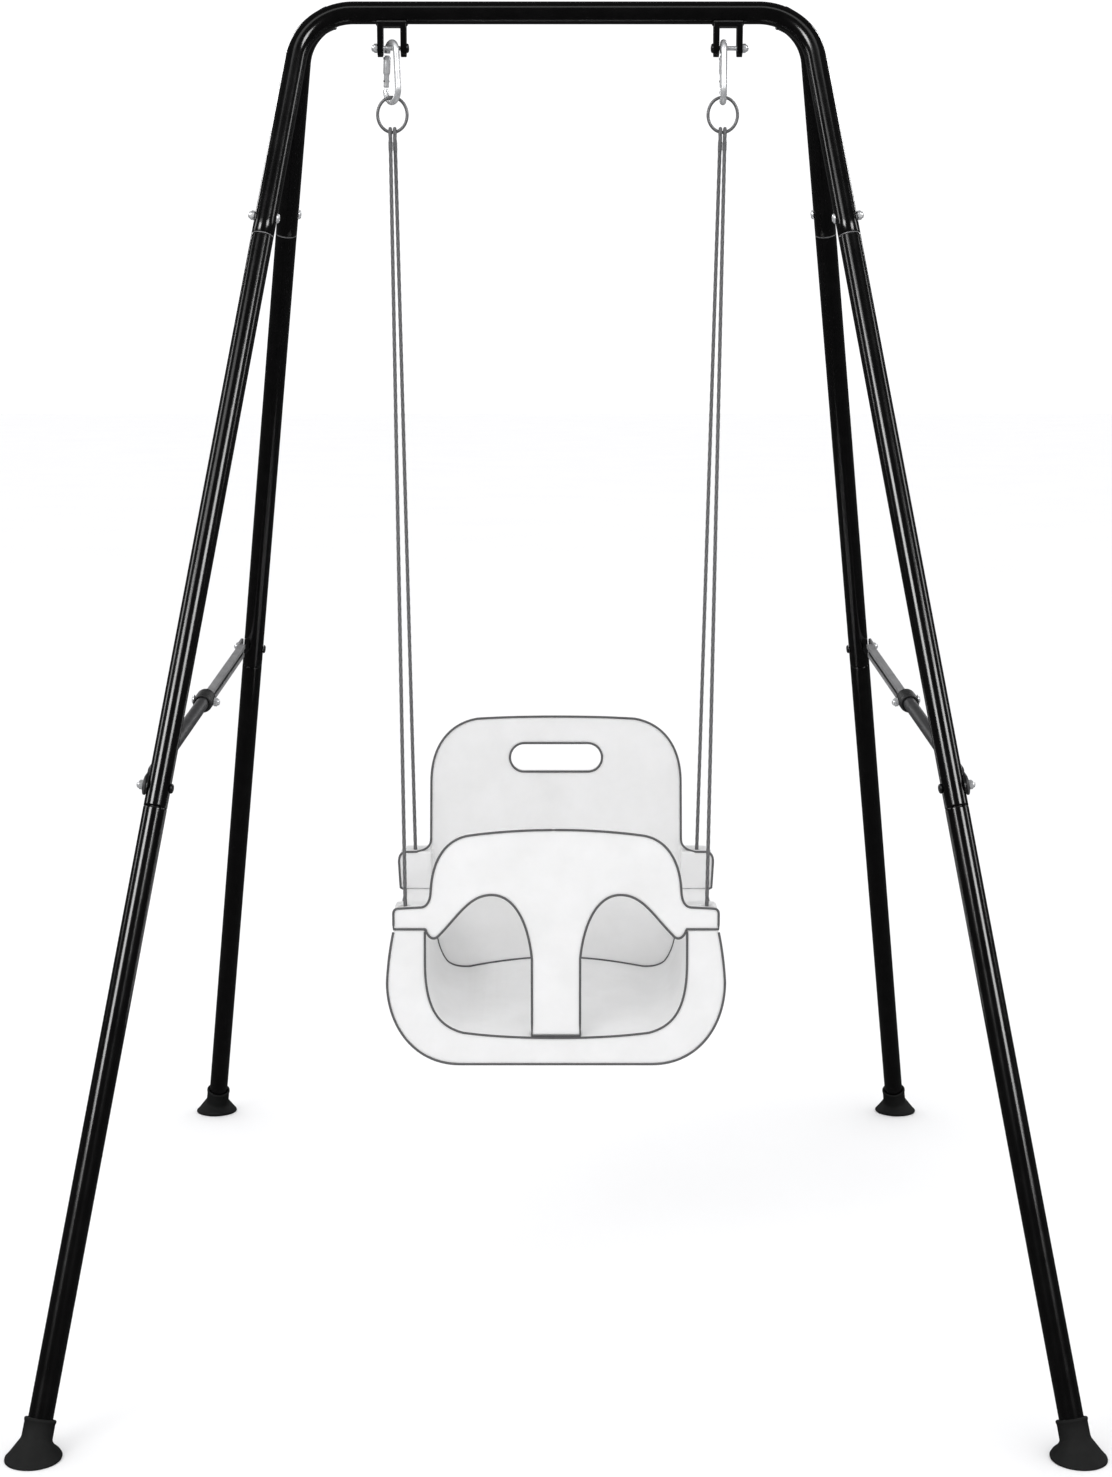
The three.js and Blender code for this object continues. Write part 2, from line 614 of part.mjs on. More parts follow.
// The space between the side walls above the pan, widened by `grow`. The pan rises towards the back,
// and most in its middle.
function troughRoom(grow) {
  const half = new THREE.Path();
  half.moveTo(0, SEAT_TOP + 200);
  const side = ROOM_HALF + grow;
  half.lineTo(side - 1.5, SEAT_TOP + 200);
  half.lineTo(side, 445);
  half.bezierCurveTo(side, 385, side - 16, 362 - grow, 120, 353 - grow);
  half.quadraticCurveTo(70, PAN_Z - grow, 0, PAN_Z - grow);
  const room = plate(mirrored(half), SEAT_FRONT - 20, SEAT_REAR + 20);
  const { position } = room.attributes;
  for (let i = 0; i < position.count; i++) {
    const outward = Math.min(Math.abs(position.getX(i)) / PAN_CROWN.half, 1);
    const rise = PAN_RISE * (1 - PAN_CROWN.share * outward ** 2);
    position.setZ(i, position.getZ(i) + rise * (position.getY(i) - SEAT_FRONT));
  }
  return solid(room);
}

function trough(inset) {
  const block = solid(plate(troughOutline(inset), SEAT_FRONT + inset, SEAT_REAR - inset));
  return cut(block, troughRoom(inset));
}

function roundedSlot(halfWidth, halfHeight, z) {
  const slot = new THREE.Shape();
  const straight = halfWidth - halfHeight;
  slot.absarc(straight, z, halfHeight, -Math.PI / 2, Math.PI / 2, false);
  slot.absarc(-straight, z, halfHeight, Math.PI / 2, (3 * Math.PI) / 2, false);
  return new THREE.Shape(slot.getPoints(8));
}

const allRopeHoles = (end, radius) => ["left", "right"].map((word) => ropeHole(word, end, radius));

// Openings in the side walls' outer faces, through which the knots are reached.
function knotWindows() {
  const { inner, half, low, high, towardsMiddle } = KNOT_WINDOW;
  const width = SEAT_HALF + 20 - inner;
  return [-1, 1].flatMap((side) => [FRONT_ROPE_Y + towardsMiddle, REAR_ROPE_Y - towardsMiddle].map((y) => {
    const from = side < 0 ? -inner - width : inner;
    return solid(box(from, from + width, y - half, y + half, low, high));
  }));
}

// A block at the front edge of the pan, for the foot of the guard's stem and for its socket.
function stemBlock({ half, front, rear, below, above }) {
  return solid(box(-half, half, SEAT_FRONT + front, SEAT_FRONT + rear, PAN_Z - below, PAN_Z + above));
}

function seatBase() {
  const holes = [...allRopeHoles("front", BASE_HOLE_R), ...allRopeHoles("rear", BASE_HOLE_R)];
  return cut(trough(0), trough(SEAT_WALL), stemBlock(STEM_SOCKET), ...knotWindows(), ...holes);
}

function backOutline(inset) {
  const half = new THREE.Path();
  const top = BACK_TOP - inset;
  const side = BACK_HALF - inset;
  const ear = side + 11; // the outline runs out into the ears here
  half.moveTo(0, top);
  half.quadraticCurveTo(60, top, 108, top - 2.5);
  half.bezierCurveTo(148 - inset * 0.6, top - 8.5, side, 680 - inset * 0.4, side, 632);
  half.lineTo(side + 0.5, 556);
  half.quadraticCurveTo(side + 0.5, 540, ear, EAR.top);
  half.lineTo(ear, SEAT_TOP + GAP);
  half.lineTo(BACK_FOOT.half - inset, SEAT_TOP + GAP);
  half.lineTo(BACK_FOOT.half - inset, BACK_FOOT.z + inset);
  half.lineTo(0, BACK_FOOT.z + inset);
  return mirrored(half);
}

function seatBack() {
  const { width, depth } = BACK_RIM;
  const skin = solid(plate(backOutline(0), 0, BACK_SKIN));
  const slab = solid(plate(backOutline(0), 0, depth));
  const rim = cut(slab, solid(plate(backOutline(width), -1, depth + 1)));
  const { half: slotHalf, r: slotR, z: slotZ, rim: slotWall } = HAND_SLOT;
  const slotRim = solid(plate(roundedSlot(slotHalf + slotWall, slotR + slotWall, slotZ), 0, depth));
  const handSlot = solid(plate(roundedSlot(slotHalf, slotR, slotZ), -1, depth + 1));
  const lean = new THREE.Matrix4().set(
    1, 0, 0, 0,
    0, 1, BACK_LEAN, BACK_Y - BACK_LEAN * SEAT_TOP,
    0, 0, 1, 0,
    0, 0, 0, 1,
  );
  const shell = solid(geometryOf(cut(join(skin, rim, slotRim), handSlot)).applyMatrix4(lean));
  const { inner, outer, front, rear, top } = EAR;
  const ears = [-1, 1].map((side) => {
    const from = Math.min(side * inner, side * outer);
    return solid(box(from, from + outer - inner, front, rear, SEAT_TOP + GAP, top));
  });
  return cut(join(shell, ...ears), trough(-GAP), ...allRopeHoles("rear", BACK_HOLE_R));
}

function guardOutline(inset) {
  const half = new THREE.Path();
  const top = GUARD_TOP - inset;
  const armTop = ARM.top - inset;
  const armEnd = ARM.outer - inset;
  const underArm = SEAT_TOP + GAP + inset;
  const stem = STEM_HALF - inset;
  const stemEnd = PAN_Z + 3 + inset;
  half.moveTo(0, top);
  half.quadraticCurveTo(60, top, 112, top - 8);
  half.bezierCurveTo(142 - inset * 0.6, top - 14, 158 - inset, 578, 160 - inset, 540);
  half.quadraticCurveTo(161 - inset, armTop, 174, armTop);
  half.lineTo(armEnd, armTop - 2);
  half.lineTo(armEnd, underArm);
  half.lineTo(ROOM_HALF - 1.2, underArm);
  half.bezierCurveTo(165, 480 + inset, 157, 472 + inset, 149 - inset * 0.5, 482 + inset);
  half.bezierCurveTo(124 - inset * 0.5, 508 + inset, 110, 535 + inset, 82, 535 + inset);
  half.bezierCurveTo(50 - inset, 535 + inset, stem + 4, 492, stem, 450);
  half.lineTo(stem, stemEnd);
  half.lineTo(0, stemEnd);
  return mirrored(half);
}

function seatGuard() {
  const { width, depth } = GUARD_RIM;
  const skin = solid(plate(guardOutline(0), SEAT_FRONT, SEAT_FRONT + GUARD_SKIN));
  const slab = solid(plate(guardOutline(0), SEAT_FRONT, SEAT_FRONT + depth));
  const rim = cut(slab, solid(plate(guardOutline(width), SEAT_FRONT - 1, SEAT_FRONT + depth + 1)));
  const arms = [-1, 1].map((side) => {
    const from = Math.min(side * ARM.inner, side * ARM.outer);
    return solid(box(from, from + ARM.outer - ARM.inner, SEAT_FRONT, ARM.rear, SEAT_TOP + GAP, ARM.top - 2));
  });
  return cut(join(skin, rim, ...arms, stemBlock(STEM_FOOT)), ...allRopeHoles("front", GUARD_HOLE_R));
}

place("seat_base", seatBase(), "plastic");
place("seat_back", seatBack(), "plastic");
place("seat_guard", seatGuard(), "plastic");

export default group;
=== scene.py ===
"""A child's swing set: a black steel A-frame with a white bucket seat on grey ropes.

Metres, +Z up, the front of the seat towards -Y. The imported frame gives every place; this script
adds finely shaped pieces, materials, light and the camera.
"""

import json
import math

import bpy
import bmesh
import numpy as np
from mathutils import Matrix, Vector


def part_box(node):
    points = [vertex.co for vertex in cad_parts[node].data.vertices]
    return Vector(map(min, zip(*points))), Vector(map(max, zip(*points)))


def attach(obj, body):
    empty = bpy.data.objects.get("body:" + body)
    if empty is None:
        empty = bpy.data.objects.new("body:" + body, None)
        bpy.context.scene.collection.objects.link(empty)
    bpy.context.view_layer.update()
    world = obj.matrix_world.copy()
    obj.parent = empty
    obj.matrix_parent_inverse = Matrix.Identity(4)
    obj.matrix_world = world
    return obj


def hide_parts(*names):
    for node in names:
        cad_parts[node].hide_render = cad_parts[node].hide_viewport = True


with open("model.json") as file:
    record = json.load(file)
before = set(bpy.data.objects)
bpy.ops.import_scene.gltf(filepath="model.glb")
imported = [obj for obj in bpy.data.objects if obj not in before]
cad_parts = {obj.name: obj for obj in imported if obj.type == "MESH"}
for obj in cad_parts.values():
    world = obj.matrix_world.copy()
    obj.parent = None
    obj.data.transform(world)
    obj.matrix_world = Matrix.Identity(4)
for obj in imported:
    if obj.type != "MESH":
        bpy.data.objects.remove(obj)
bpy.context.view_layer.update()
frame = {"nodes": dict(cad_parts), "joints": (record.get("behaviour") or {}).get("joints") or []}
NODES = frame["nodes"]
JOINTS = {joint["name"]: joint for joint in frame["joints"]}
MM = 0.001
TAU = 2 * math.pi
RIGHT = np.array((1.0, 0.0, 0.0))
UP = np.array((0.0, 0.0, 1.0))
HANDS = ("left", "right")
ENDS = ("front", "rear")

# ---- driving sizes -------------------------------------------------------------------------
TUBE_R = 14 * MM
TUBE_WALL = 1.5 * MM
TUBE_SIDES = 56
FRAME_TUBE_SIDES = 16
BEND_R = 72 * MM
STUB_START = 0.3
BEND_STEPS = 28
LIP = 0.8 * MM
SEAM_GAP = 0.4 * MM

BOLT_R = 3 * MM
HEAD_R = 6 * MM
HEAD_H = 3.4 * MM
NUT_APOTHEM = 5.1 * MM
NUT_H = 4.6 * MM

HOOK_WIRE_R = 4 * MM
HOOK_BOTTOM_R = 16 * MM
HOOK_TOP_R = 12 * MM
HOOK_START = 61 * MM
HOOK_NOSE = 17.5 * MM
GATE_CHEEK = 36 * MM
GATE_CATCH = 27 * MM
RING_WIRE_R = 2 * MM
ROPE_R = 2.5 * MM
BRAID_PITCH = 13 * MM
BEAD_R = 1.5 * MM

BRACE_R = 8.6 * MM
FLAT_HALF = 12 * MM
FLAT_T = 3 * MM
NOSE = 11.8 * MM
FLAT_LENGTH = 26 * MM
ROUND_FROM = 60 * MM
BRACE_REACH = 30 * MM
CHANNEL_BACK = 34 * MM
COLLAR_R = 13 * MM

CAMERA_AT = (0.0, -3.274, 1.233)
CAMERA_DOWN_DEG = 9.03
LENS_MM = 61.0
ROOM_LIGHT = 1.1
ROOM_IN_GLOSS = 0.07
STRIP_LIGHT = 16.0


# ---- reading the frame ---------------------------------------------------------------------
def vertex_places(mesh):
    """The places of a mesh's vertices, one row each."""
    flat = np.empty(len(mesh.vertices) * 3, np.float64)
    mesh.vertices.foreach_get("co", flat)
    return flat.reshape(-1, 3)


def points_of(node):
    """The corner points of a node's mesh, each of them once."""
    return np.unique(vertex_places(NODES[node].data).round(7), axis=0)


def axis_of(node):
    """A point on a round node's own axis, and the axis's direction."""
    points = points_of(node)
    centre = points.mean(axis=0)
    direction = np.linalg.svd(points - centre, full_matrices=False)[2][0]
    return centre, direction


def span_along(node, origin, direction, reach):
    """How far a node extends along a line, counting only what lies within reach of the line."""
    offset = points_of(node) - origin
    along = offset @ direction
    aside = np.linalg.norm(offset - np.outer(along, direction), axis=1)
    near = along[aside < reach]
    return near.min(), near.max()


def box_centre(node):
    low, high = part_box(node)
    return np.array((low + high) / 2)


# ---- surfaces ------------------------------------------------------------------------------
def new_object(name, mesh):
    obj = bpy.data.objects.new(name, mesh)
    bpy.context.scene.collection.objects.link(obj)
    return obj


def shade(obj, degrees=35):
    mesh = obj.data
    mesh.polygons.foreach_set("use_smooth", [True] * len(mesh.polygons))
    mesh.set_sharp_from_angle(angle=math.radians(degrees))
    return obj


def edited(mesh, change):
    """Changes a mesh in place, by a function that is given a bmesh."""
    builder = bmesh.new()
    builder.from_mesh(mesh)
    change(builder)
    builder.to_mesh(mesh)
    builder.free()


def skin(name, rings, closed=False, caps=True, degrees=35):
    """A surface through rings that all have the same number of points."""
    rings = np.asarray(rings, float)
    count, sides = rings.shape[:2]
    index = np.arange(count * sides).reshape(count, sides)
    low = index if closed else index[:-1]
    high = np.roll(index, -1, axis=0) if closed else index[1:]
    quads = np.stack([low, np.roll(low, -1, 1), np.roll(high, -1, 1), high], axis=-1)
    faces = quads.reshape(-1, 4).tolist()
    if caps and not closed:
        faces.append(index[0][::-1].tolist())
        faces.append(index[-1].tolist())
    mesh = bpy.data.meshes.new(name)
    mesh.from_pydata(rings.reshape(-1, 3).tolist(), [], faces)
    edited(mesh, lambda builder: bmesh.ops.recalc_face_normals(builder, faces=builder.faces))
    return shade(new_object(name, mesh), degrees)


def unit(vector):
    vector = np.asarray(vector, float)
    return vector / np.linalg.norm(vector)


def square_to(direction):
    """Two directions that are square to a direction and to each other."""
    direction = unit(direction)
    seed = UP if abs(direction[2]) < 0.9 else RIGHT
    first = unit(seed - direction * seed.dot(direction))
    return first, np.cross(direction, first)


def frames_along(points, closed=False):
    """Section directions that turn as little as possible along a path."""
    if closed:
        tangents = np.roll(points, -1, axis=0) - np.roll(points, 1, axis=0)
    else:
        tangents = np.gradient(points, axis=0)
    tangents /= np.linalg.norm(tangents, axis=1, keepdims=True)
    first = square_to(tangents[0])[0]
    firsts = []
    for tangent in tangents:
        first = unit(first - tangent * first.dot(tangent))
        firsts.append(first)
    firsts = np.array(firsts)
    return firsts, np.cross(tangents, firsts)


def sweep(name, path, radius, sides=32, closed=False, caps=True, degrees=35):
    """A round bar along a path. The radius is one number, or one for each station or point."""
    path = np.asarray(path, float)
    radius = np.asarray(radius, float)
    radius = radius[:, None] if radius.ndim == 1 else radius
    radii = np.broadcast_to(radius, (len(path), sides))
    around = spokes(*frames_along(path, closed), sides)
    return skin(name, path[:, None] + radii[..., None] * around, closed, caps, degrees)


def turned(name, origin, axis, profile, sides=48, degrees=35):
    """A turned piece. Each profile row is a distance along the axis and a radius, or radii."""
    axis = unit(axis)
    around = spokes(*square_to(axis), sides)
    rings = []
    for along, radius in profile:
        radii = np.broadcast_to(np.asarray(radius, float), (sides,))
        rings.append(np.asarray(origin) + along * axis + radii[:, None] * around)
    return skin(name, rings, degrees=degrees)


def from_mm(start, rows):
    """Profile rows in millimetres, as metres from a start."""
    return [(start + along * MM, np.asarray(radius) * MM) for along, radius in rows]


def mirrored(rows, middle=0.0):
    """Rows of two numbers, and then the same rows mirrored about a value of the first number."""
    return rows + [(2 * middle - first, second) for first, second in reversed(rows)]


def hexagon(apothem, sides=48):
    """Radii of a hexagon at evenly spaced angles."""
    angles = np.arange(sides) * TAU / sides
    return apothem / np.cos((angles % (TAU / 6)) - TAU / 12)


def smoothstep(low, high, value):
    share = np.clip((np.asarray(value, float) - low) / (high - low), 0, 1)
    return share * share * (3 - 2 * share)


def spokes(first, second, sides):
    """Directions to evenly spaced points round a section, or round each of a row of sections."""
    angles = np.arange(sides)[:, None] * TAU / sides
    return np.cos(angles) * first[..., None, :] + np.sin(angles) * second[..., None, :]


def resampled(path, steps, wanted):
    """Points on a path at wanted distances, where steps are the distances of its own points."""
    return np.stack([np.interp(wanted, steps, path[:, k]) for k in range(3)], axis=1)


def arc(centre, first, second, radius, start, end, steps):
    """Points on an arc from angle start to angle end, in the plane of two directions."""
    angles = np.linspace(start, end, steps + 1)[:, None]
    return np.asarray(centre) + radius * (np.cos(angles) * first + np.sin(angles) * second)


def refined(node, width, segments=3):
    """A copy of a node's shape with rounded edges."""
    obj = new_object(f"{node}_detail", NODES[node].data.copy())

    def merge_flats(builder):
        bmesh.ops.remove_doubles(builder, verts=builder.verts, dist=1e-6)
        flat_angle = math.radians(2)
        bmesh.ops.dissolve_limit(builder, angle_limit=flat_angle, verts=builder.verts, edges=builder.edges)

    edited(obj.data, merge_flats)
    bevel = obj.modifiers.new("edges", "BEVEL")
    bevel.width = width
    bevel.segments = segments
    bevel.limit_method = "ANGLE"
    bevel.angle_limit = math.radians(32)
    bevel.use_clamp_overlap = True
    return shade(flattened(obj), 40)


def flattened(obj):
    """Turns an object's modifiers into its mesh."""
    graph = bpy.context.evaluated_depsgraph_get()
    mesh = bpy.data.meshes.new_from_object(obj.evaluated_get(graph))
    obj.modifiers.clear()
    obj.data = mesh
    return obj


# ---- materials -----------------------------------------------------------------------------
class Finish:
    """A Principled material that is built up from a few kinds of node."""

    def __init__(self, name, **sockets):
        self.material = bpy.data.materials.new(name)
        self.material.use_nodes = True
        self.tree = self.material.node_tree
        self.shader = self.tree.nodes["Principled BSDF"]
        for socket, value in sockets.items():
            self.shader.inputs[socket.replace("_", " ")].default_value = value
        self.place = self.add("ShaderNodeTexCoord").outputs["Object"]
        self.normal = None

    def add(self, kind, **settings):
        node = self.tree.nodes.new(kind)
        for key, value in settings.items():
            setattr(node, key, value)
        return node

    def link(self, output, socket):
        self.tree.links.new(output, socket)

    def stretched(self, scale):
        mapping = self.add("ShaderNodeMapping")
        mapping.inputs["Scale"].default_value = scale
        self.link(self.place, mapping.inputs["Vector"])
        return mapping.outputs["Vector"]

    def noise(self, scale, detail=3.0, roughness=0.55, place=None):
        node = self.add("ShaderNodeTexNoise")
        node.inputs["Scale"].default_value = scale
        node.inputs["Detail"].default_value = detail
        node.inputs["Roughness"].default_value = roughness
        self.link(place or self.place, node.inputs["Vector"])
        return node.outputs["Fac"]

    def cells(self, scale, place=None):
        node = self.add("ShaderNodeTexVoronoi")
        node.inputs["Scale"].default_value = scale
        self.link(place or self.place, node.inputs["Vector"])
        return node.outputs["Distance"]

    def attribute(self, name):
        return self.add("ShaderNodeAttribute", attribute_name=name).outputs["Fac"]

    def ranged(self, value, low, high, start=0.0, end=1.0):
        node = self.add("ShaderNodeMapRange")
        for socket, number in (("From Min", start), ("From Max", end), ("To Min", low), ("To Max", high)):
            node.inputs[socket].default_value = number
        self.link(value, node.inputs["Value"])
        return node.outputs["Result"]

    def colours(self, value, stops):
        node = self.add("ShaderNodeValToRGB")
        ramp = node.color_ramp
        while len(ramp.elements) < len(stops):
            ramp.elements.new(0.5)
        for element, (position, colour) in zip(ramp.elements, stops):
            element.position = position
            element.color = (*colour, 1)
        self.link(value, node.inputs["Fac"])
        return node.outputs["Color"]

    def mixed(self, value, first, second):
        node = self.add("ShaderNodeMix", data_type="RGBA")
        self.link(value, node.inputs[0])
        self.link(first, node.inputs[6])
        self.link(second, node.inputs[7])
        return node.outputs[2]

    def colour(self, output):
        self.link(output, self.shader.inputs["Base Color"])

    def tint(self, value, *stops):
        """Colours the surface by a value, between stops that are a position and a colour."""
        self.colour(self.colours(value, stops))

    def roughness(self, value, low, high, start=0.0, end=1.0):
        self.link(self.ranged(value, low, high, start, end), self.shader.inputs["Roughness"])

    def bump(self, height, distance, strength=1.0):
        """Adds a layer of relief over the ones before it."""
        node = self.add("ShaderNodeBump")
        node.inputs["Strength"].default_value = strength
        node.inputs["Distance"].default_value = distance
        self.link(height, node.inputs["Height"])
        if self.normal is not None:
            self.link(self.normal, node.inputs["Normal"])
        self.normal = node.outputs["Normal"]
        self.link(self.normal, self.shader.inputs["Normal"])


def gloss_powder_coat():
    finish = Finish("gloss_black_powder_coat", IOR=1.45)
    scuff = finish.noise(55, 8, 0.7)
    finish.tint(scuff, (0.45, (0.0010, 0.0009, 0.0010)), (0.80, (0.0028, 0.0026, 0.0027)))
    finish.roughness(finish.noise(26, 6), 0.13, 0.19, 0.3, 0.7)
    finish.bump(finish.noise(420, 2), 0.00003, 0.35)
    finish.bump(finish.noise(60, 2), 0.00012, 0.18)
    return finish.material


def weld_paint():
    finish = Finish("painted_weld", IOR=1.45)
    finish.tint(finish.noise(300, 4), (0.3, (0.004, 0.004, 0.004)), (0.8, (0.012, 0.011, 0.012)))
    finish.roughness(finish.noise(200, 4), 0.28, 0.5)
    finish.bump(finish.cells(420), 0.0003, 0.5)
    return finish.material


def grey_paint(name, metallic, scale, dark, light, *rough):
    """Satin paint. The scale is that of its mottling, and rough is its least and most roughness."""
    finish = Finish(name, Metallic=metallic, IOR=1.4)
    finish.tint(finish.noise(scale, 6, 0.65), (0.35, dark), (0.75, light))
    finish.roughness(finish.noise(40, 5), *rough, 0.3, 0.7)
    finish.bump(finish.noise(480, 3), 0.00006, 0.6)
    return finish.material


def matt_rubber():
    finish = Finish("matt_black_rubber", Specular_IOR_Level=0.3)
    dust = finish.noise(38, 8, 0.7)
    finish.tint(dust, (0.35, (0.0022, 0.0028, 0.0025)), (0.85, (0.0060, 0.0070, 0.0064)))
    finish.roughness(finish.noise(70, 5), 0.68, 0.86)
    finish.bump(finish.noise(900, 4, 0.7), 0.00012, 0.8)
    return finish.material


def matt_black_plastic():
    finish = Finish("matt_black_plastic", Specular_IOR_Level=0.4)
    cloud = finish.noise(80, 5)
    finish.tint(cloud, (0.3, (0.011, 0.011, 0.012)), (0.8, (0.021, 0.021, 0.022)))
    finish.roughness(finish.noise(120, 4), 0.45, 0.62)
    finish.bump(finish.noise(1300, 3), 0.00006, 0.7)
    return finish.material


def edge_line_plastic():
    finish = Finish("grey_edge_line", Specular_IOR_Level=0.35)
    cloud = finish.noise(120, 5)
    finish.tint(cloud, (0.3, (0.088, 0.088, 0.090)), (0.8, (0.118, 0.118, 0.120)))
    finish.roughness(finish.noise(150, 4), 0.5, 0.66)
    finish.bump(finish.noise(1200, 3), 0.00005, 0.6)
    return finish.material


def bright_zinc():
    finish = Finish("bright_zinc_plate", Metallic=0.62)
    tint = finish.noise(160, 5, 0.6)
    finish.tint(tint, (0.25, (0.66, 0.67, 0.69)), (0.55, (0.80, 0.81, 0.82)), (0.85, (0.86, 0.85, 0.81)))
    finish.roughness(finish.noise(240, 6, 0.7), 0.28, 0.42, 0.3, 0.7)
    finish.bump(finish.noise(300, 3, 0.6), 0.00002, 0.25)
    return finish.material


def dull_metal(name, metallic, dark, light, rough, grain):
    """Plate or wire. The grain is the scale, the depth and the strength of its relief."""
    finish = Finish(name, Metallic=metallic)
    finish.tint(finish.noise(180, 6, 0.65), (0.3, dark), (0.8, light))
    finish.roughness(finish.noise(260, 5), *rough)
    scale, depth, strength = grain
    finish.bump(finish.noise(scale, 4), depth, strength)
    return finish.material


def braided_rope():
    finish = Finish("grey_braided_rope", Sheen_Weight=0.25, Sheen_Roughness=0.5, Specular_IOR_Level=0.2)
    # painted shade: the strand heights colour the grooves between strands much darker than their crowns
    strands = finish.attribute("strand")
    painted_groove_shade = finish.colours(strands, [(0.0, (0.030, 0.030, 0.031)), (0.55, (0.115, 0.115, 0.118)),
                                   (1.0, (0.165, 0.165, 0.168))])
    fibre = finish.noise(1.0, 4, 0.7, finish.stretched((2400, 2400, 900)))
    worn = finish.colours(fibre, [(0.3, (0.062, 0.062, 0.064)), (0.8, (0.185, 0.185, 0.188))])
    finish.colour(finish.mixed(finish.ranged(fibre, 0.15, 0.5), painted_groove_shade, worn))
    finish.roughness(fibre, 0.78, 0.95)
    finish.bump(fibre, 0.00025, 0.7)
    return finish.material


def white_moulded_plastic():
    finish = Finish("white_moulded_plastic", Subsurface_Weight=0.06, Subsurface_Scale=0.006)
    finish.shader.inputs["Subsurface Radius"].default_value = (1.0, 0.9, 0.8)
    cloud = finish.noise(14, 7, 0.62)
    finish.tint(cloud, (0.30, (0.80, 0.80, 0.795)), (0.72, (0.87, 0.87, 0.87)))
    finish.roughness(finish.noise(45, 6), 0.36, 0.50, 0.3, 0.7)
    finish.bump(finish.noise(1500, 2), 0.00005, 0.7)
    finish.bump(finish.noise(30, 2), 0.00035, 0.25)
    return finish.material


def pale_floor():
    finish = Finish("pale_floor", Specular_IOR_Level=0.15)
    cloud = finish.noise(1.4, 4)
    finish.tint(cloud, (0.3, (0.955, 0.955, 0.955)), (0.8, (0.975, 0.975, 0.975)))
    finish.roughness(finish.noise(3.0, 4), 0.82, 0.92)
    finish.bump(finish.noise(260, 3), 0.0001, 0.2)
    return finish.material


PAINT = gloss_powder_coat()
WELD = weld_paint()
BRACE_PAINT = grey_paint(
    "satin_grey_paint", 0.25, 70, (0.052, 0.052, 0.054), (0.082, 0.082, 0.085), 0.32, 0.48
)
# painted light: the brace's channel halves and walls are coloured far paler than the satin grey of its front
# halves, for the light on their faces
PALE_LIT_CHANNEL_PAINT = grey_paint(
    "pale_grey_painted_light", 0.35, 60, (0.30, 0.30, 0.305), (0.40, 0.40, 0.405), 0.34, 0.5
)
RUBBER = matt_rubber()
BLACK_PLASTIC = matt_black_plastic()
EDGE_LINE = edge_line_plastic()
ZINC = bright_zinc()
DARK_ZINC = dull_metal(
    "black_zinc_plate", 0.8, (0.018, 0.018, 0.019), (0.045, 0.045, 0.046), (0.24, 0.40), (700, 0.00003, 0.4)
)
WIRE = dull_metal(
    "grey_steel_wire", 0.5, (0.13, 0.13, 0.133), (0.21, 0.21, 0.215), (0.34, 0.52), (800, 0.00005, 0.6)
)
ROPE = braided_rope()
PLASTIC = white_moulded_plastic()


def finished(obj, material, body, slot, *nodes):
    """Gives a piece its material and its body, and hides the nodes it stands for. The slot is not used."""
    obj.data.materials.clear()
    obj.data.materials.append(material)
    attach(obj, body)
    if nodes:
        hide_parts(*nodes)
    return obj


# ---- legs ----------------------------------------------------------------------------------
BAR_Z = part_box("top_frame")[1].z - TUBE_R * math.cos(math.pi / FRAME_TUBE_SIDES)


class Leg:
    """One leg line, with distances measured down it from where it meets the bar's axis."""

    def __init__(self, word, end):
        self.name = f"{word}_{end}"
        self.side = -1 if word == "left" else 1
        point, direction = axis_of(f"{self.name}_lower_leg")
        self.down = direction if direction[2] < 0 else -direction
        self.corner = point + self.down * (BAR_Z - point[2]) / self.down[2]
        above = "top_frame" if end == "front" else f"{self.name}_stub"
        self.upper = self.span(above)[1]
        self.lower = self.span(f"{self.name}_middle_leg")[1]
        self.end = self.span(f"{self.name}_lower_leg")[1]
        across = self.side * RIGHT
        self.out = unit(across - self.down * self.down.dot(across))

    def span(self, node):
        return span_along(node, self.corner, self.down, 1.5 * TUBE_R)

    def at(self, distance):
        return self.corner + distance * self.down

    def at_height(self, z):
        return self.at((z - self.corner[2]) / self.down[2])

    def bend(self, steps, start=0.0):
        """Points on the bend that leads from the bar into this leg."""
        inward = -self.side * RIGHT
        angle = math.pi - math.acos(inward.dot(self.down))
        first = self.corner + inward * BEND_R * math.tan(angle / 2)
        towards = unit(self.down - inward * inward.dot(self.down))
        return arc(first + towards * BEND_R, -towards, -inward, BEND_R, angle * start, angle, steps)


LEGS = {f"{word}_{end}": Leg(word, end) for word in HANDS for end in ENDS}


def open_lip(end, into):
    """Stations and radii of a tube's open end with a rounded rim, starting deep inside."""
    inner = TUBE_R - TUBE_WALL
    stations = [end + into * depth for depth in (6 * MM, 0.3 * MM, 0.0, 0.15 * MM, LIP)]
    radii = [inner, inner, inner + 0.4 * MM, TUBE_R - 0.45 * MM, TUBE_R]
    return stations, radii


def straight_rings(stations, radii, axis, sides=TUBE_SIDES):
    """Rings square to an axis, for stations too close together to give a direction."""
    around = spokes(*square_to(axis), sides)
    return [np.asarray(p) + r * around for p, r in zip(stations, radii)]


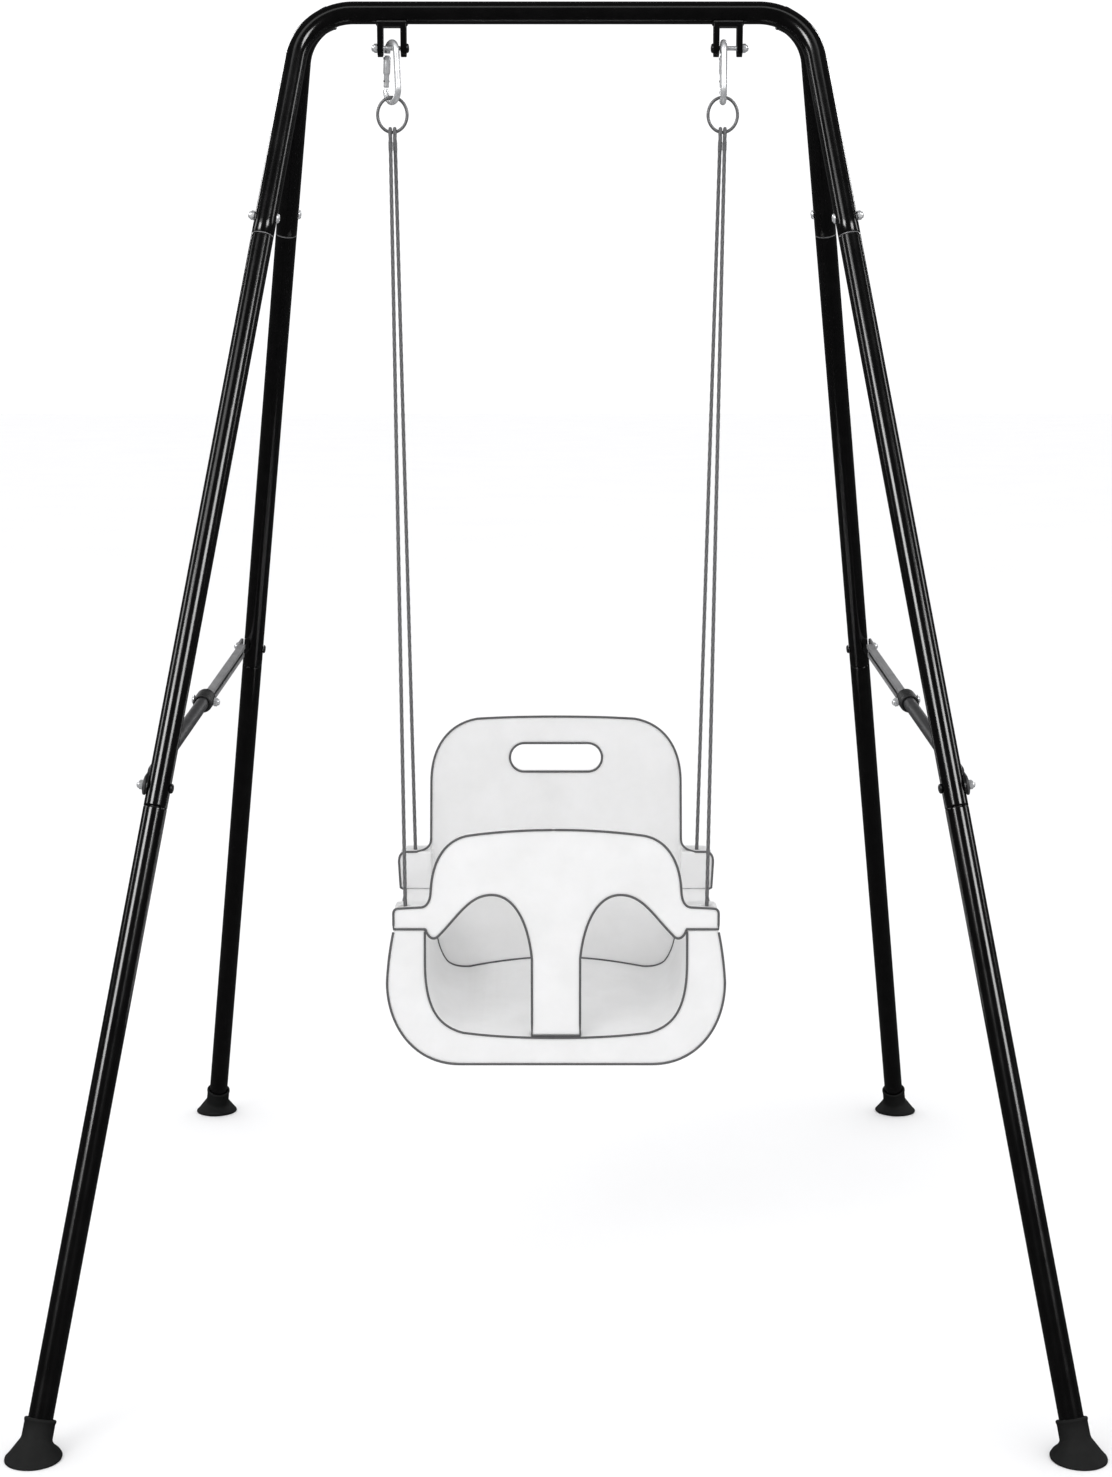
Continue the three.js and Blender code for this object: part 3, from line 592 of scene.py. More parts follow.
def leg_tube(leg, top, bottom, node, open_end):
    """A tube with a narrow spigot at its top, a rounded shoulder and, maybe, an open lower end."""
    spigot = TUBE_R - TUBE_WALL - SEAM_GAP
    top += SEAM_GAP
    profile = [
        (-5 * MM, spigot), (0.0, spigot), (0.0, TUBE_R - 0.9 * MM), (0.3 * MM, TUBE_R - 0.35 * MM),
        (LIP, TUBE_R),
    ]
    stations = [leg.at(top + along) for along, _ in profile]
    radii = [radius for _, radius in profile]
    steps = np.linspace(top + 3 * LIP, bottom - 3 * LIP, 24)
    stations += [leg.at(s) for s in steps]
    radii += [TUBE_R] * len(steps)
    if open_end:
        lip_stations, lip_radii = open_lip(leg.at(bottom), -leg.down)
        stations += lip_stations[::-1]
        radii += lip_radii[::-1]
    else:
        stations.append(leg.at(bottom))
        radii.append(TUBE_R)
    obj = skin(f"{node}_detail", straight_rings(stations, radii, leg.down), caps=not open_end)
    return finished(obj, PAINT, "stand", "frame_paint", node)


def seam_highlight_ring(leg):
    """A light grey steel ring where a middle tube's shoulder meets the tube above: a painted highlight for
    the bright line at the seam.
    """
    start = leg.upper + SEAM_GAP
    profile = [
        (-0.3 * MM, TUBE_R - 1.2 * MM), (-0.3 * MM, TUBE_R - 0.2 * MM), (-0.1 * MM, TUBE_R + 0.08 * MM),
        (0.9 * MM, TUBE_R + 0.08 * MM), (1.1 * MM, TUBE_R - 0.1 * MM), (1.1 * MM, TUBE_R - 1.2 * MM),
    ]
    ring = turned(f"{leg.name}_seam_highlight_ring", leg.at(start), leg.down, profile, TUBE_SIDES)
    finished(ring, WIRE, "stand", "zinc")


def bent_tube(name, path, start_axis, end_axis, open_start, open_end):
    """A tube along a path, with an open, rounded rim at either end or both."""
    around = spokes(*frames_along(path), TUBE_SIDES)
    rings = list(path[:, None] + TUBE_R * around)
    if open_start:
        stations, radii = open_lip(path[0], start_axis)
        rings[0:1] = [p + r * around[0] for p, r in zip(stations, radii)]
    if open_end:
        stations, radii = open_lip(path[-1], end_axis)
        rings[-1:] = [p + r * around[-1] for p, r in zip(stations, radii)][::-1]
    return skin(name, rings, caps=False)


def top_frame_path():
    left, right = LEGS["left_front"], LEGS["right_front"]
    down_left = [left.at(s) for s in np.linspace(left.upper, left.upper - 0.2, 12)]
    down_right = [right.at(s) for s in np.linspace(right.upper - 0.2, right.upper, 12)]
    left_bend = left.bend(BEND_STEPS)[::-1]
    right_bend = right.bend(BEND_STEPS)
    bar = np.linspace(left_bend[-1], right_bend[0], 26)[1:-1]
    return np.vstack([down_left, left_bend, bar, right_bend, down_right])


def coped_edge(stub_path, frame_path):
    """Where the skin of a stub comes out of the top frame's skin, as a closed loop."""
    first, second = frames_along(stub_path)
    loop = []
    for angle in np.linspace(0, TAU, 72, endpoint=False):
        line = stub_path + TUBE_R * (math.cos(angle) * first + math.sin(angle) * second)
        gaps = np.linalg.norm(line[:, None] - frame_path[None], axis=2).min(axis=1)
        outside = np.nonzero(gaps > TUBE_R)[0]
        loop.append(line[outside[0]] if len(outside) else line[-1])
    return np.array(loop)


def smoothed(loop, rounds):
    for _ in range(rounds):
        loop = (np.roll(loop, 1, axis=0) + 2 * loop + np.roll(loop, -1, axis=0)) / 4
    return loop


def weld_bead(name, loop, radius, body="stand"):
    """A rippled bead of weld along a closed loop."""
    steps = np.linalg.norm(np.roll(loop, -1, axis=0) - loop, axis=1)
    ends = np.concatenate([[0], np.cumsum(steps)])
    count = max(int(ends[-1] / (0.7 * MM)), 24)
    wanted = np.linspace(0, ends[-1], count, endpoint=False)
    whole = np.vstack([loop, loop[:1]])
    path = resampled(whole, ends, wanted)
    ripples = max(int(ends[-1] / (2.6 * MM)), 6)
    radii = radius * (1 + 0.12 * np.cos(np.arange(count) * TAU * ripples / count))
    obj = sweep(name, path, radii, sides=12, closed=True, degrees=60)
    return finished(obj, WELD, body, "frame_paint")


def make_top():
    path = top_frame_path()
    left, right = LEGS["left_front"], LEGS["right_front"]
    obj = bent_tube("top_frame_detail", path, -left.down, -right.down, True, True)
    finished(obj, PAINT, "stand", "frame_paint", "top_frame")
    for word in HANDS:
        leg = LEGS[f"{word}_rear"]
        straight = [leg.at(s) for s in np.linspace(leg.upper - 0.2, leg.upper, 12)]
        stub_path = np.vstack([leg.bend(BEND_STEPS, STUB_START), straight])
        node = f"{word}_rear_stub"
        stub = bent_tube(f"{node}_detail", stub_path, leg.down, -leg.down, False, True)
        finished(stub, PAINT, "stand", "frame_paint", node)
        stub_order = np.arange(len(stub_path))
        dense = resampled(stub_path, stub_order, np.linspace(0, len(stub_path) - 1, 1600))
        spine = resampled(path, np.arange(len(path)), np.linspace(0, len(path) - 1, 1400))
        near = spine[np.linalg.norm(spine - leg.corner, axis=1) < 0.35]
        weld_bead(f"{word}_corner_weld", smoothed(coped_edge(dense, near), 2), 1.7 * MM)


# ---- feet ----------------------------------------------------------------------------------
def make_foot(leg):
    """A rubber boot: a round disc on the ground that rises into a cup along the leg."""
    node = f"{leg.name}_foot"
    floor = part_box(node)[0].z
    disc = [(0.0, 30.8), (0.4, 31.7), (1.4, 32.0), (2.6, 31.9), (3.4, 31.2), (4.6, 30.2)]
    flare = [(6.4, 28.7), (9.0, 26.5), (12.5, 23.5), (16.0, 20.6), (18.4, 18.7), (19.8, 17.9), (21.6, 17.5)]
    cup = [(30.0, 17.4), (36.6, 17.4), (37.3, 17.8), (38.4, 18.1), (39.9, 18.0), (40.7, 17.2), (40.9, 15.6)]
    inside = [(40.3, 14.6), (38.0, 14.3), (30.0, 14.3)]
    rings = []
    for z, radius in from_mm(0, disc + flare + cup + inside):
        lean = smoothstep(4 * MM, 22 * MM, z)
        axis = unit((1 - lean) * UP - lean * leg.down)
        centre = leg.at_height(z)
        first = unit(RIGHT - axis * axis[0])
        ring = centre + radius * spokes(first, np.cross(axis, first), 72)
        ring[:, 2] = np.maximum(ring[:, 2], floor)
        rings.append(ring)
    obj = skin(f"{node}_detail", rings, degrees=50)
    return finished(obj, RUBBER, "stand", "foot_rubber", node)


# ---- bolts and nuts ------------------------------------------------------------------------
def make_bolt(node, away_from):
    """A button head with a hexagonal socket, and a threaded shank that points to away_from."""
    centre, axis = axis_of(node)
    axis = axis if axis.dot(np.asarray(away_from) - centre) > 0 else -axis
    start, end = span_along(node, centre, axis, 2 * HEAD_R)
    seat = start + HEAD_H
    socket = hexagon(2.0)
    profile = from_mm(start, [
        (2.2, 0.05), (2.2, socket * 0.96), (0.35, socket), (0.05, socket + 0.3), (0, 3.1), (0.35, 4.3),
        (1.0, 5.2), (1.9, 5.8),
    ])
    profile += [
        (seat - 0.5 * MM, HEAD_R), (seat - 0.25 * MM, HEAD_R - 0.15 * MM), (seat - 0.2 * MM, BOLT_R),
    ]
    threads = np.arange(seat, end - 0.8 * MM, 0.5 * MM)
    groove = np.where(np.arange(len(threads)) % 2 == 0, BOLT_R, BOLT_R - 0.28 * MM)
    shank = [(seat - 1.2 * MM, BOLT_R - 0.3 * MM), *zip(threads, groove)]
    shank += [(end - 0.6 * MM, BOLT_R - 0.1 * MM), (end, BOLT_R - 0.6 * MM)]
    head = turned(f"{node}_head", centre, axis, profile, degrees=30)
    return head, turned(f"{node}_detail", centre, axis, shank, degrees=30), axis


def make_nut(node, axis):
    """A hexagonal cap nut with chamfered corners and a smooth dome."""
    centre = box_centre(node)
    start, end = span_along(node, centre, axis, 4 * HEAD_R)
    flats = hexagon(NUT_APOTHEM)
    corner = flats.max()
    top = start + NUT_H
    profile = [
        (start, BOLT_R + 0.3 * MM), (start, np.minimum(flats, corner * 0.90)), (start + 0.5 * MM, flats),
        (top - 0.7 * MM, flats), (top - 0.1 * MM, np.minimum(flats, corner * 0.90)),
        (top, np.minimum(flats, corner * 0.84)), (top + 0.02 * MM, 4.6 * MM),
    ]
    for share in np.linspace(0, 1, 9):
        angle = share * math.pi / 2 * 0.985
        height = top + 0.1 * MM + (end - top - 0.1 * MM) * math.sin(angle)
        profile.append((height, 4.5 * MM * math.cos(angle) ** 0.8))
    return turned(f"{node}_detail", centre, axis, profile, degrees=30)


def fasten(prefix, head=None, body="stand"):
    cap, bolt, axis = make_bolt(f"{prefix}_bolt", box_centre(f"{prefix}_nut"))
    finished(bolt, ZINC, body, "zinc", f"{prefix}_bolt")
    finished(cap, head or ZINC, body, "zinc")
    finished(make_nut(f"{prefix}_nut", axis), ZINC, body, "zinc", f"{prefix}_nut")


# ---- braces --------------------------------------------------------------------------------
def make_brace(word):
    front_node = f"{word}_brace_front_half"
    centre, along = axis_of(front_node)
    rear_point = box_centre(f"{word}_brace_rear_half")
    along = along if along.dot(rear_point - centre) > 0 else -along
    leg = LEGS[f"{word}_front"]
    out = unit(leg.out - along * along.dot(leg.out))
    wide = np.cross(along, out)
    low, high = span_along(front_node, centre, along, BRACE_REACH)
    hole = low + NOSE
    flat_end, round_start = hole + FLAT_LENGTH, hole + ROUND_FROM
    stations = np.concatenate([
        np.linspace(low, hole, 9), np.linspace(hole + 4 * MM, flat_end, 4),
        np.linspace(hole + 28 * MM, round_start, 14), np.linspace(hole + 66 * MM, high, 12),
    ])
    angles = np.arange(48) * TAU / 48
    rings = []
    for s in stations:
        round_share = smoothstep(flat_end, round_start, s)
        nose = FLAT_HALF
        if s < hole:
            nose = math.sqrt(max(FLAT_HALF ** 2 - (hole - s) ** 2, (1.6 * MM) ** 2))
        half_wide = nose + (BRACE_R - nose) * round_share
        half_thin = FLAT_T / 2 + (BRACE_R - FLAT_T / 2) * round_share
        power = 0.34 + 0.66 * round_share
        u = np.sign(np.cos(angles)) * np.abs(np.cos(angles)) ** power * half_wide
        v = np.sign(np.sin(angles)) * np.abs(np.sin(angles)) ** power * half_thin
        rings.append(centre + s * along + u[:, None] * wide + v[:, None] * out)
    front = skin(f"{front_node}_detail", rings, degrees=45)
    finished(front, BRACE_PAINT, "stand", "brace_paint", front_node)

    rear_node = f"{word}_brace_rear_half"
    finished(refined(rear_node, 0.7 * MM), PALE_LIT_CHANNEL_PAINT, "stand", "brace_paint", rear_node)

    # the channel's folded walls and lips, which leave a slot, and a matt black block behind the slot: painted
    # shade for the channel's unlit inside
    end = span_along(rear_node, centre, along, BRACE_REACH)[1] - CHANNEL_BACK
    half_section = [(9.4, 1.75), (9.4, -7.4), (3.4, -7.4), (3.4, -6.2), (8.2, -6.2), (8.2, 0.6)]
    painted_shade_block = [(-8.15, -0.1), (8.15, -0.1), (8.15, -5.6), (-8.15, -5.6)]
    walls = mirrored(half_section)
    for part, section, material in (("walls", walls, PALE_LIT_CHANNEL_PAINT), ("inside", painted_shade_block, BLACK_PLASTIC)):
        outline = np.array([u * MM * wide + v * MM * out for u, v in section])
        rings = [centre + s * along + outline for s in np.linspace(high + 0.6 * MM, end, 24)]
        finished(skin(f"{rear_node}_{part}", rings), material, "stand", "brace_paint")

    collar_node = f"{word}_brace_collar"
    start, end = span_along(collar_node, centre, along, BRACE_REACH)
    steps = [
        (2.5, -4.0), (0.3, -3.1), (0.0, -2.6), (0.0, -2.0), (0.4, -1.3), (2.8, -0.2), (4.2, 0.0),
        (7.0, 0.0), (7.6, -0.5), (8.4, -0.5), (9.0, 0.0),
    ]
    profile = [(start + along * MM, COLLAR_R + proud * MM) for along, proud in steps]
    profile = mirrored(profile, (start + end) / 2)
    collar = turned(f"{collar_node}_detail", centre, along, profile, degrees=30)
    finished(collar, BLACK_PLASTIC, "stand", "collar_plastic", collar_node)
    fasten(f"{word}_brace_middle")


# ---- hangers -------------------------------------------------------------------------------
def make_bracket(word):
    node = f"{word}_bracket"
    finished(refined(node, 0.8 * MM), PAINT, "stand", "frame_paint", node)
    low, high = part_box(node)
    top = high.z
    corners = [(low.x, low.y), (high.x, low.y), (high.x, high.y), (low.x, high.y)]
    loop = []
    for (x0, y0), (x1, y1) in zip(corners, corners[1:] + corners[:1]):
        for share in np.linspace(0, 1, 18, endpoint=False):
            x, y = x0 + (x1 - x0) * share, y0 + (y1 - y0) * share
            bar_under = BAR_Z - math.sqrt(TUBE_R ** 2 - min(abs(y), 0.75 * TUBE_R) ** 2)
            loop.append((x, y * 0.8, (top + max(bar_under, top)) / 2))
    weld_bead(f"{word}_bracket_weld", smoothed(np.array(loop), 2), 1.9 * MM)


class Hook:
    """The plane and the heights of one snap hook."""

    def __init__(self, word):
        self.word = word
        self.node = f"{word}_snap_hook"
        self.gate_node = f"{word}_hook_gate"
        low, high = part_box(self.node)
        self.low = low.z + HOOK_WIRE_R
        pin = np.array(JOINTS[f"{word}_hook_swing"]["pos_m"])
        self.base = np.array((pin[0], pin[1], self.low))
        axis = np.array(JOINTS[f"{word}_gate_open"]["axis"], float)
        self.open = unit(np.cross(axis, UP))
        self.across = np.cross(self.open, UP)
        self.top_arc = high.z - HOOK_WIRE_R - HOOK_TOP_R - self.low
        gate_low, gate_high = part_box(self.gate_node)
        self.gate_low = gate_low.z - self.low
        self.gate_high = gate_high.z - self.low
        self.pivot = JOINTS[f"{word}_gate_open"]["pos_m"][2] - self.low

    def at(self, along, height):
        return self.base + along * self.open + height * UP

    def gate_side(self, height):
        share = (height - HOOK_BOTTOM_R) / (self.top_arc - HOOK_BOTTOM_R)
        return self.at(HOOK_BOTTOM_R + (HOOK_TOP_R - HOOK_BOTTOM_R) * share, height)


def make_hook(word):
    hook = Hook(word)
    top = arc(hook.at(0, hook.top_arc), hook.open, UP, HOOK_TOP_R, 0, math.pi, 28)
    bottom = arc(hook.at(0, HOOK_BOTTOM_R), hook.open, UP, HOOK_BOTTOM_R, math.pi, TAU, 32)
    spine = np.linspace(top[-1], bottom[0], 14)[1:-1]
    start = hook.gate_side(HOOK_START)
    nose = hook.gate_side(HOOK_NOSE)
    path = np.vstack([[start], top, spine, bottom, [nose]])
    radii = np.full(len(path), HOOK_WIRE_R)
    radii[0] = 3.5 * MM
    radii[-1] = 3.3 * MM
    wire = sweep(f"{hook.node}_detail", path, radii, sides=36)
    finished(wire, ZINC, f"{word}_hook", "zinc", hook.node)

    low, high = hook.gate_low, hook.gate_high
    gate_axis = unit(hook.gate_side(high) - hook.gate_side(low))
    profile = from_mm(low, [(0.5, 2.0), (0.6, 2.7), (1.4, 3.3), (2.4, 3.4)])
    profile += from_mm(GATE_CHEEK, [(-1.4, 3.4), (-0.6, 3.7), (0.4, 4.3), (1.6, 4.55)])
    profile += from_mm(high, [(-3.4, 4.55), (-1.6, 4.2), (-0.5, 3.4), (-0.3, 2.4)])
    rings = straight_rings([hook.gate_side(z) for z, _ in profile], [r for _, r in profile], gate_axis, 36)
    gate = skin(f"{hook.gate_node}_detail", rings, degrees=32)
    finished(gate, ZINC, f"{word}_gate", "zinc", hook.gate_node)
    for name, height, reach in (("hinge", hook.pivot - 2 * MM, 4.9 * MM), ("catch", GATE_CATCH, 3.9 * MM)):
        centre = hook.gate_side(height)
        pin_profile = mirrored(from_mm(-reach, [(0, 0.9), (0.15, 1.3), (0.7, 1.45)]))
        pin = turned(f"{word}_gate_{name}_pin", centre, hook.across, pin_profile, sides=20)
        finished(pin, DARK_ZINC, f"{word}_gate", "zinc")


def make_ring(word):
    node = f"{word}_ring"
    low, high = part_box(node)
    centre = np.array((low + high) / 2)
    half_wide = (high.x - low.x) / 2 - RING_WIRE_R
    half_high = (high.z - low.z) / 2 - RING_WIRE_R
    angles = np.arange(96) * TAU / 96
    path = centre + np.stack([half_wide * np.cos(angles), 0 * angles, half_high * np.sin(angles)], axis=1)
    obj = sweep(f"{node}_detail", path, RING_WIRE_R, sides=24, closed=True)
    finished(obj, WIRE, "seat", "ring_steel", node)
    return centre - half_high * UP


# ---- ropes ---------------------------------------------------------------------------------
def store_strand(obj, heights):
    """Keeps how high the strands stand at each vertex; the rope's material paints shade into the low places
    by it.
    """
    store = obj.data.attributes.new("strand", "FLOAT", "POINT")
    store.data.foreach_set("value", heights.ravel().astype(np.float32))


def braid(name, path, radius, sides=24):
    """A rope whose skin is braided from two sets of strands that cross over and under."""
    path = np.asarray(path, float)
    steps = np.concatenate([[0], np.cumsum(np.linalg.norm(np.diff(path, axis=0), axis=1))])
    count = max(int(steps[-1] / (1.35 * MM)), 12)
    wanted = np.linspace(0, steps[-1], count)
    fine = resampled(path, steps, wanted)
    angles = np.arange(sides) * TAU / sides
    turn = TAU * wanted / BRAID_PITCH
    right = np.cos(4 * angles[None] + turn[:, None])
    left = np.cos(4 * angles[None] - turn[:, None])
    strand = np.clip(0.5 + 0.5 * np.maximum(right, left), 0, 1)
    obj = sweep(name, fine, radius * (0.90 + 0.10 * strand), sides=sides, degrees=80)
    store_strand(obj, strand)
    return obj


def whipping(name, start, end, wide, deep, sides=28):
    """Twine wound round two strands that lie one behind the other, between two points."""
    length = np.linalg.norm(end - start)
    turns = int(length / (1.1 * MM))
    count = turns * 6
    share = np.linspace(0, 1, count)
    path = start + share[:, None] * (end - start)
    wave = np.abs(np.sin(share * turns * math.pi))
    wave[0] = wave[-1] = 0.0
    ripple = 0.3 * MM * wave
    ripple[0] = ripple[-1] = -0.8 * MM
    angles = np.arange(sides) * TAU / sides
    wide_part = np.cos(angles)[None] * (wide + ripple)[:, None]
    deep_part = np.sin(angles)[None] * (deep + ripple)[:, None]
    second = unit(np.cross(RIGHT, end - start))
    obj = skin(name, path[:, None] + wide_part[..., None] * RIGHT + deep_part[..., None] * second, degrees=70)
    # painted shade: the twine is coloured darker between its turns than on them
    store_strand(obj, np.repeat(0.25 + 0.6 * wave, sides))
    return obj


def make_rope(word, end, ring_bottom):
    node = f"{word}_{end}_rope"
    points = points_of(node)
    knot_low = points[:, 2].min()
    around_knot = points[points[:, 2] < knot_low + 14 * MM]
    knot = (around_knot.min(axis=0) + around_knot.max(axis=0)) / 2
    side = -1 if word == "left" else 1
    spread = 2.9 * MM * (side if end == "front" else -side)
    eye = ring_bottom + spread * RIGHT
    along = unit(knot - eye)
    loop_r = RING_WIRE_R + 2.3 * MM + 0.35 * MM
    lean = np.array((0.0, math.copysign(1.0, along[1]), 0.0))
    over = arc(eye, -lean, UP, loop_r, 0, math.pi, 20)
    join = eye + along * 13 * MM
    tail_end = join - lean * 2.2 * MM + along * 9 * MM
    eye_path = np.vstack([
        [tail_end, join - lean * 2.3 * MM, eye - lean * 4.0 * MM - UP * 6 * MM], over,
        [eye + lean * 3.6 * MM - UP * 5 * MM, join + lean * 0.4 * MM],
    ])
    loop = braid(f"{node}_eye", eye_path, 2.3 * MM, sides=18)
    finished(loop, ROPE, "seat", "rope")
    run = [join - along * 3 * MM + (knot - join) * share for share in np.linspace(0, 1, 40)]
    rope = braid(f"{node}_detail", run, ROPE_R)
    finished(rope, ROPE, "seat", "rope", node)
    start = join - lean * 0.9 * MM - along * 1 * MM
    band = whipping(f"{node}_whipping", start, start + along * 11 * MM, 2.55 * MM, 3.9 * MM)
    finished(band, ROPE, "seat", "rope")
    t = np.linspace(0, TAU, 90)
    turns = np.stack([np.sin(t) + 2 * np.sin(2 * t), np.cos(t) - 2 * np.cos(2 * t), -np.sin(3 * t)], axis=1)
    stopper = braid(f"{node}_knot", knot + 1.5 * MM * turns, 2.2 * MM, sides=16)
    finished(stopper, ROPE, "seat", "rope")


# ---- seat ----------------------------------------------------------------------------------
BASE_LOW, BASE_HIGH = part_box("seat_base")
SEAT_TOP = BASE_HIGH.z / MM
SEAT_BOTTOM = BASE_LOW.z / MM
SEAT_FRONT = BASE_LOW.y / MM
SEAT_REAR = BASE_HIGH.y / MM
SEAT_HALF = BASE_HIGH.x / MM
ROOM_HALF = 168.0
PAN_Z = 346.0
PAN_RISE = 0.18
PAN_CROWN = (150.0, 0.69)
BACK_Y = 110.0
BACK_LEAN = 0.12
BACK_TOP = 720.5
BACK_HALF = 172.0
GUARD_TOP = 620.0
STEM_HALF = 31.0
ARM_TOP = 518.0
EAR_TOP = 541.0
SLOT = (63.0, 19.0, 664.5)
VOXEL = 1.7 * MM
REST_Z = SEAT_TOP + 0.4
ARM_OUT = 208.0
EAR_FRONT = 90.0
EAR_REAR = 137.0
BEAD_OUT = 0.4
BORE_BELOW = 0.005
BORE_ABOVE = 0.12
KNOT_Y = (-129.0, 112.0)
HOLE_HALF = 14.0
WALL_ROOM = 184.0
# each knot's holes in a side wall: a name, how far out it reaches, and its lowest and highest Z
WALL_HOLES = (("window", 240.0, 436.0, 474.0), ("pocket", 206.0, 460.0, 486.0))


class Outline:
    """Half an outline in X and Z, in millimetres, of lines and Bezier curves, from the middle out."""

    def __init__(self, x, z):
        self.points = [np.array((x, z), float)]

    def line(self, x, z, steps=1):
        start = self.points[-1]
        end = np.array((x, z), float)
        self.points += [start + (end - start) * k / steps for k in range(1, steps + 1)]
        return self

    def curve(self, *controls, steps=18):
        nodes = [self.points[-1], *(np.array(c, float) for c in controls)]
        order = len(nodes) - 1
        for t in np.linspace(0, 1, steps + 1)[1:]:
            weights = [math.comb(order, k) * (1 - t) ** (order - k) * t ** k for k in range(order + 1)]
            self.points.append(sum(w * p for w, p in zip(weights, nodes)))
        return self

    def half(self):
        return np.array(self.points)

    def whole(self):
        right = self.half()
        left = right[right[:, 0] > 0.01][::-1] * (-1, 1)
        return np.vstack([right, left])


def trough_outline():
    side = SEAT_HALF
    line = Outline(0, SEAT_TOP).line(side - 9.5, SEAT_TOP, 8).curve((side - 2, 455), (side, 419))
    line.curve((side, 360), (182, SEAT_BOTTOM), (124, SEAT_BOTTOM), steps=30)
    return line.line(0, SEAT_BOTTOM, 8)


def room_outline():
    line = Outline(0, SEAT_TOP + 200).line(ROOM_HALF - 1.5, SEAT_TOP + 200).line(ROOM_HALF, 445, 6)
    line.curve((ROOM_HALF, 385), (ROOM_HALF - 16, 362), (120, 353), steps=26)
    return line.curve((70, PAN_Z), (0, PAN_Z))


def back_outline(inset):
    top = BACK_TOP - inset
    side = BACK_HALF - inset
    ear = side + 11
    line = Outline(0, top).curve((60, top), (108, top - 2.5))
    line.curve((148 - inset * 0.6, top - 8.5), (side, 680 - inset * 0.4), (side, 632), steps=26)
    line.line(side + 0.5, 556, 5).curve((side + 0.5, 540), (ear, EAR_TOP)).line(ear, REST_Z)
    line.line(165 - inset, REST_Z).line(165 - inset, 360 + inset)
    return line.line(0, 360 + inset)


def guard_outline(inset):
    top = GUARD_TOP - inset
    arm_top = ARM_TOP - inset
    arm_end = ARM_OUT - inset
    under = REST_Z + inset
    stem = STEM_HALF - inset
    line = Outline(0, top).curve((60, top), (112, top - 8))
    line.curve((142 - inset * 0.6, top - 14), (158 - inset, 578), (160 - inset, 540), steps=26)
    line.curve((161 - inset, arm_top), (174, arm_top)).line(arm_end - 6, arm_top - 1.5, 3)
    line.curve((arm_end, arm_top - 2), (arm_end, arm_top - 9), steps=8)
    line.line(arm_end, under, 3).line(ROOM_HALF - 1.2, under, 3)
    line.curve((165, 480 + inset), (157, 472 + inset), (149 - inset * 0.5, 482 + inset))
    line.curve((124 - inset * 0.5, 508 + inset), (110, 535 + inset), (82, 535 + inset), steps=24)
    line.curve((50 - inset, 535 + inset), (stem + 4, 492), (stem, 450), steps=24)
    return line.line(stem, PAN_Z + 3 + inset, 6).line(0, PAN_Z + 3 + inset)


def slot_outline(half, radius, z):
    straight = half - radius
    angles = np.linspace(-math.pi / 2, math.pi / 2, 22)
    right = np.stack([straight + radius * np.cos(angles), z + radius * np.sin(angles)], axis=1)
    left = np.stack([-straight - radius * np.cos(angles), z - radius * np.sin(angles)], axis=1)
    return np.vstack([right, left])


def slab(name, outline, front, rear, lift=lambda x, y, z: (x, y, z)):
    """A plate with an outline in X and Z, from front to rear along Y, in millimetres."""
    rows = []
    for y in (front, rear):
        rows.append([np.array(lift(x, y, z)) * MM for x, z in outline])
    obj = skin(name, rows)

    def split_ends(builder):
        bmesh.ops.triangulate(builder, faces=[f for f in builder.faces if len(f.verts) > 4])

    edited(obj.data, split_ends)
    return obj


def block(name, low, high):
    (x0, y0, z0), (x1, y1, z1) = low, high
    return slab(name, [(x0, z0), (x1, z0), (x1, z1), (x0, z1)], y0, y1)


def combined(obj, others, operation):
    """Joins other solids to an object, or cuts them from it, and removes them."""
    for other in others:
        modifier = obj.modifiers.new("solid", "BOOLEAN")
        modifier.object = other
        modifier.operation = operation
        modifier.solver = "EXACT"
    flattened(obj)
    for other in others:
        bpy.data.objects.remove(other)
    return obj


def rope_bore(word, end, radius):
    """The hole that a rope needs, from its knot up to above the arms and ears."""
    rope = bpy.data.objects[f"{word}_{end}_rope_detail"]
    points = vertex_places(rope.data)
    heights = points[:, 2]

    def middle_at(height):
        near = points[np.abs(heights - height) < 3 * MM]
        return (near.min(axis=0) + near.max(axis=0)) / 2

    low = middle_at(heights.min() + 4 * MM)
    top = middle_at(heights.max() - 4 * MM)
    low -= (top - low) * BORE_BELOW
    high = low + (top - low) * BORE_ABOVE
    return sweep(f"{word}_{end}_bore", [low, (low + high) / 2, high], radius, sides=28)


def moulded(obj, rounds=7):
    """Gives a solid the soft edges of a moulded piece."""
    remesh = obj.modifiers.new("skin", "REMESH")
    remesh.mode = "VOXEL"
    remesh.voxel_size = VOXEL
    soften = obj.modifiers.new("edges", "SMOOTH")
    soften.factor = 0.5
    soften.iterations = rounds
    flattened(obj)
    obj.data.polygons.foreach_set("use_smooth", [True] * len(obj.data.polygons))
    return obj


def guard_bow(x, z):
    """How far the guard's middle stands forward of its ends, in millimetres."""
    return -6.0 * (1 - min(abs(x) / 165.0, 1.0) ** 2) * float(smoothstep(470, 560, z))


def back_bow(x, z):
    """How far the middle of the back stands behind its sides."""
    return 7.0 * (1 - min(abs(x) / 172.0, 1.0) ** 2) * float(smoothstep(500, 600, z))


def bowed(obj, bow):
    """Moves an object's points along Y, by a bow that depends on their X and Z."""
    points = vertex_places(obj.data)
    points[:, 1] += np.array([bow(x / MM, z / MM) for x, _, z in points]) * MM
    obj.data.vertices.foreach_set("co", points.ravel())
    return obj


def edge_bead(name, points, closed=False, body="seat", radius=BEAD_R):
    """A fine dark line moulded along an edge of the seat."""
    path = np.asarray(points, float) * MM
    steps = np.linalg.norm(np.diff(path, axis=0), axis=1)
    keep = np.concatenate([[True], steps > 0.05 * MM])
    obj = sweep(name, path[keep], radius, sides=12, closed=closed, degrees=70)
    return finished(obj, EDGE_LINE, body, "collar_plastic")


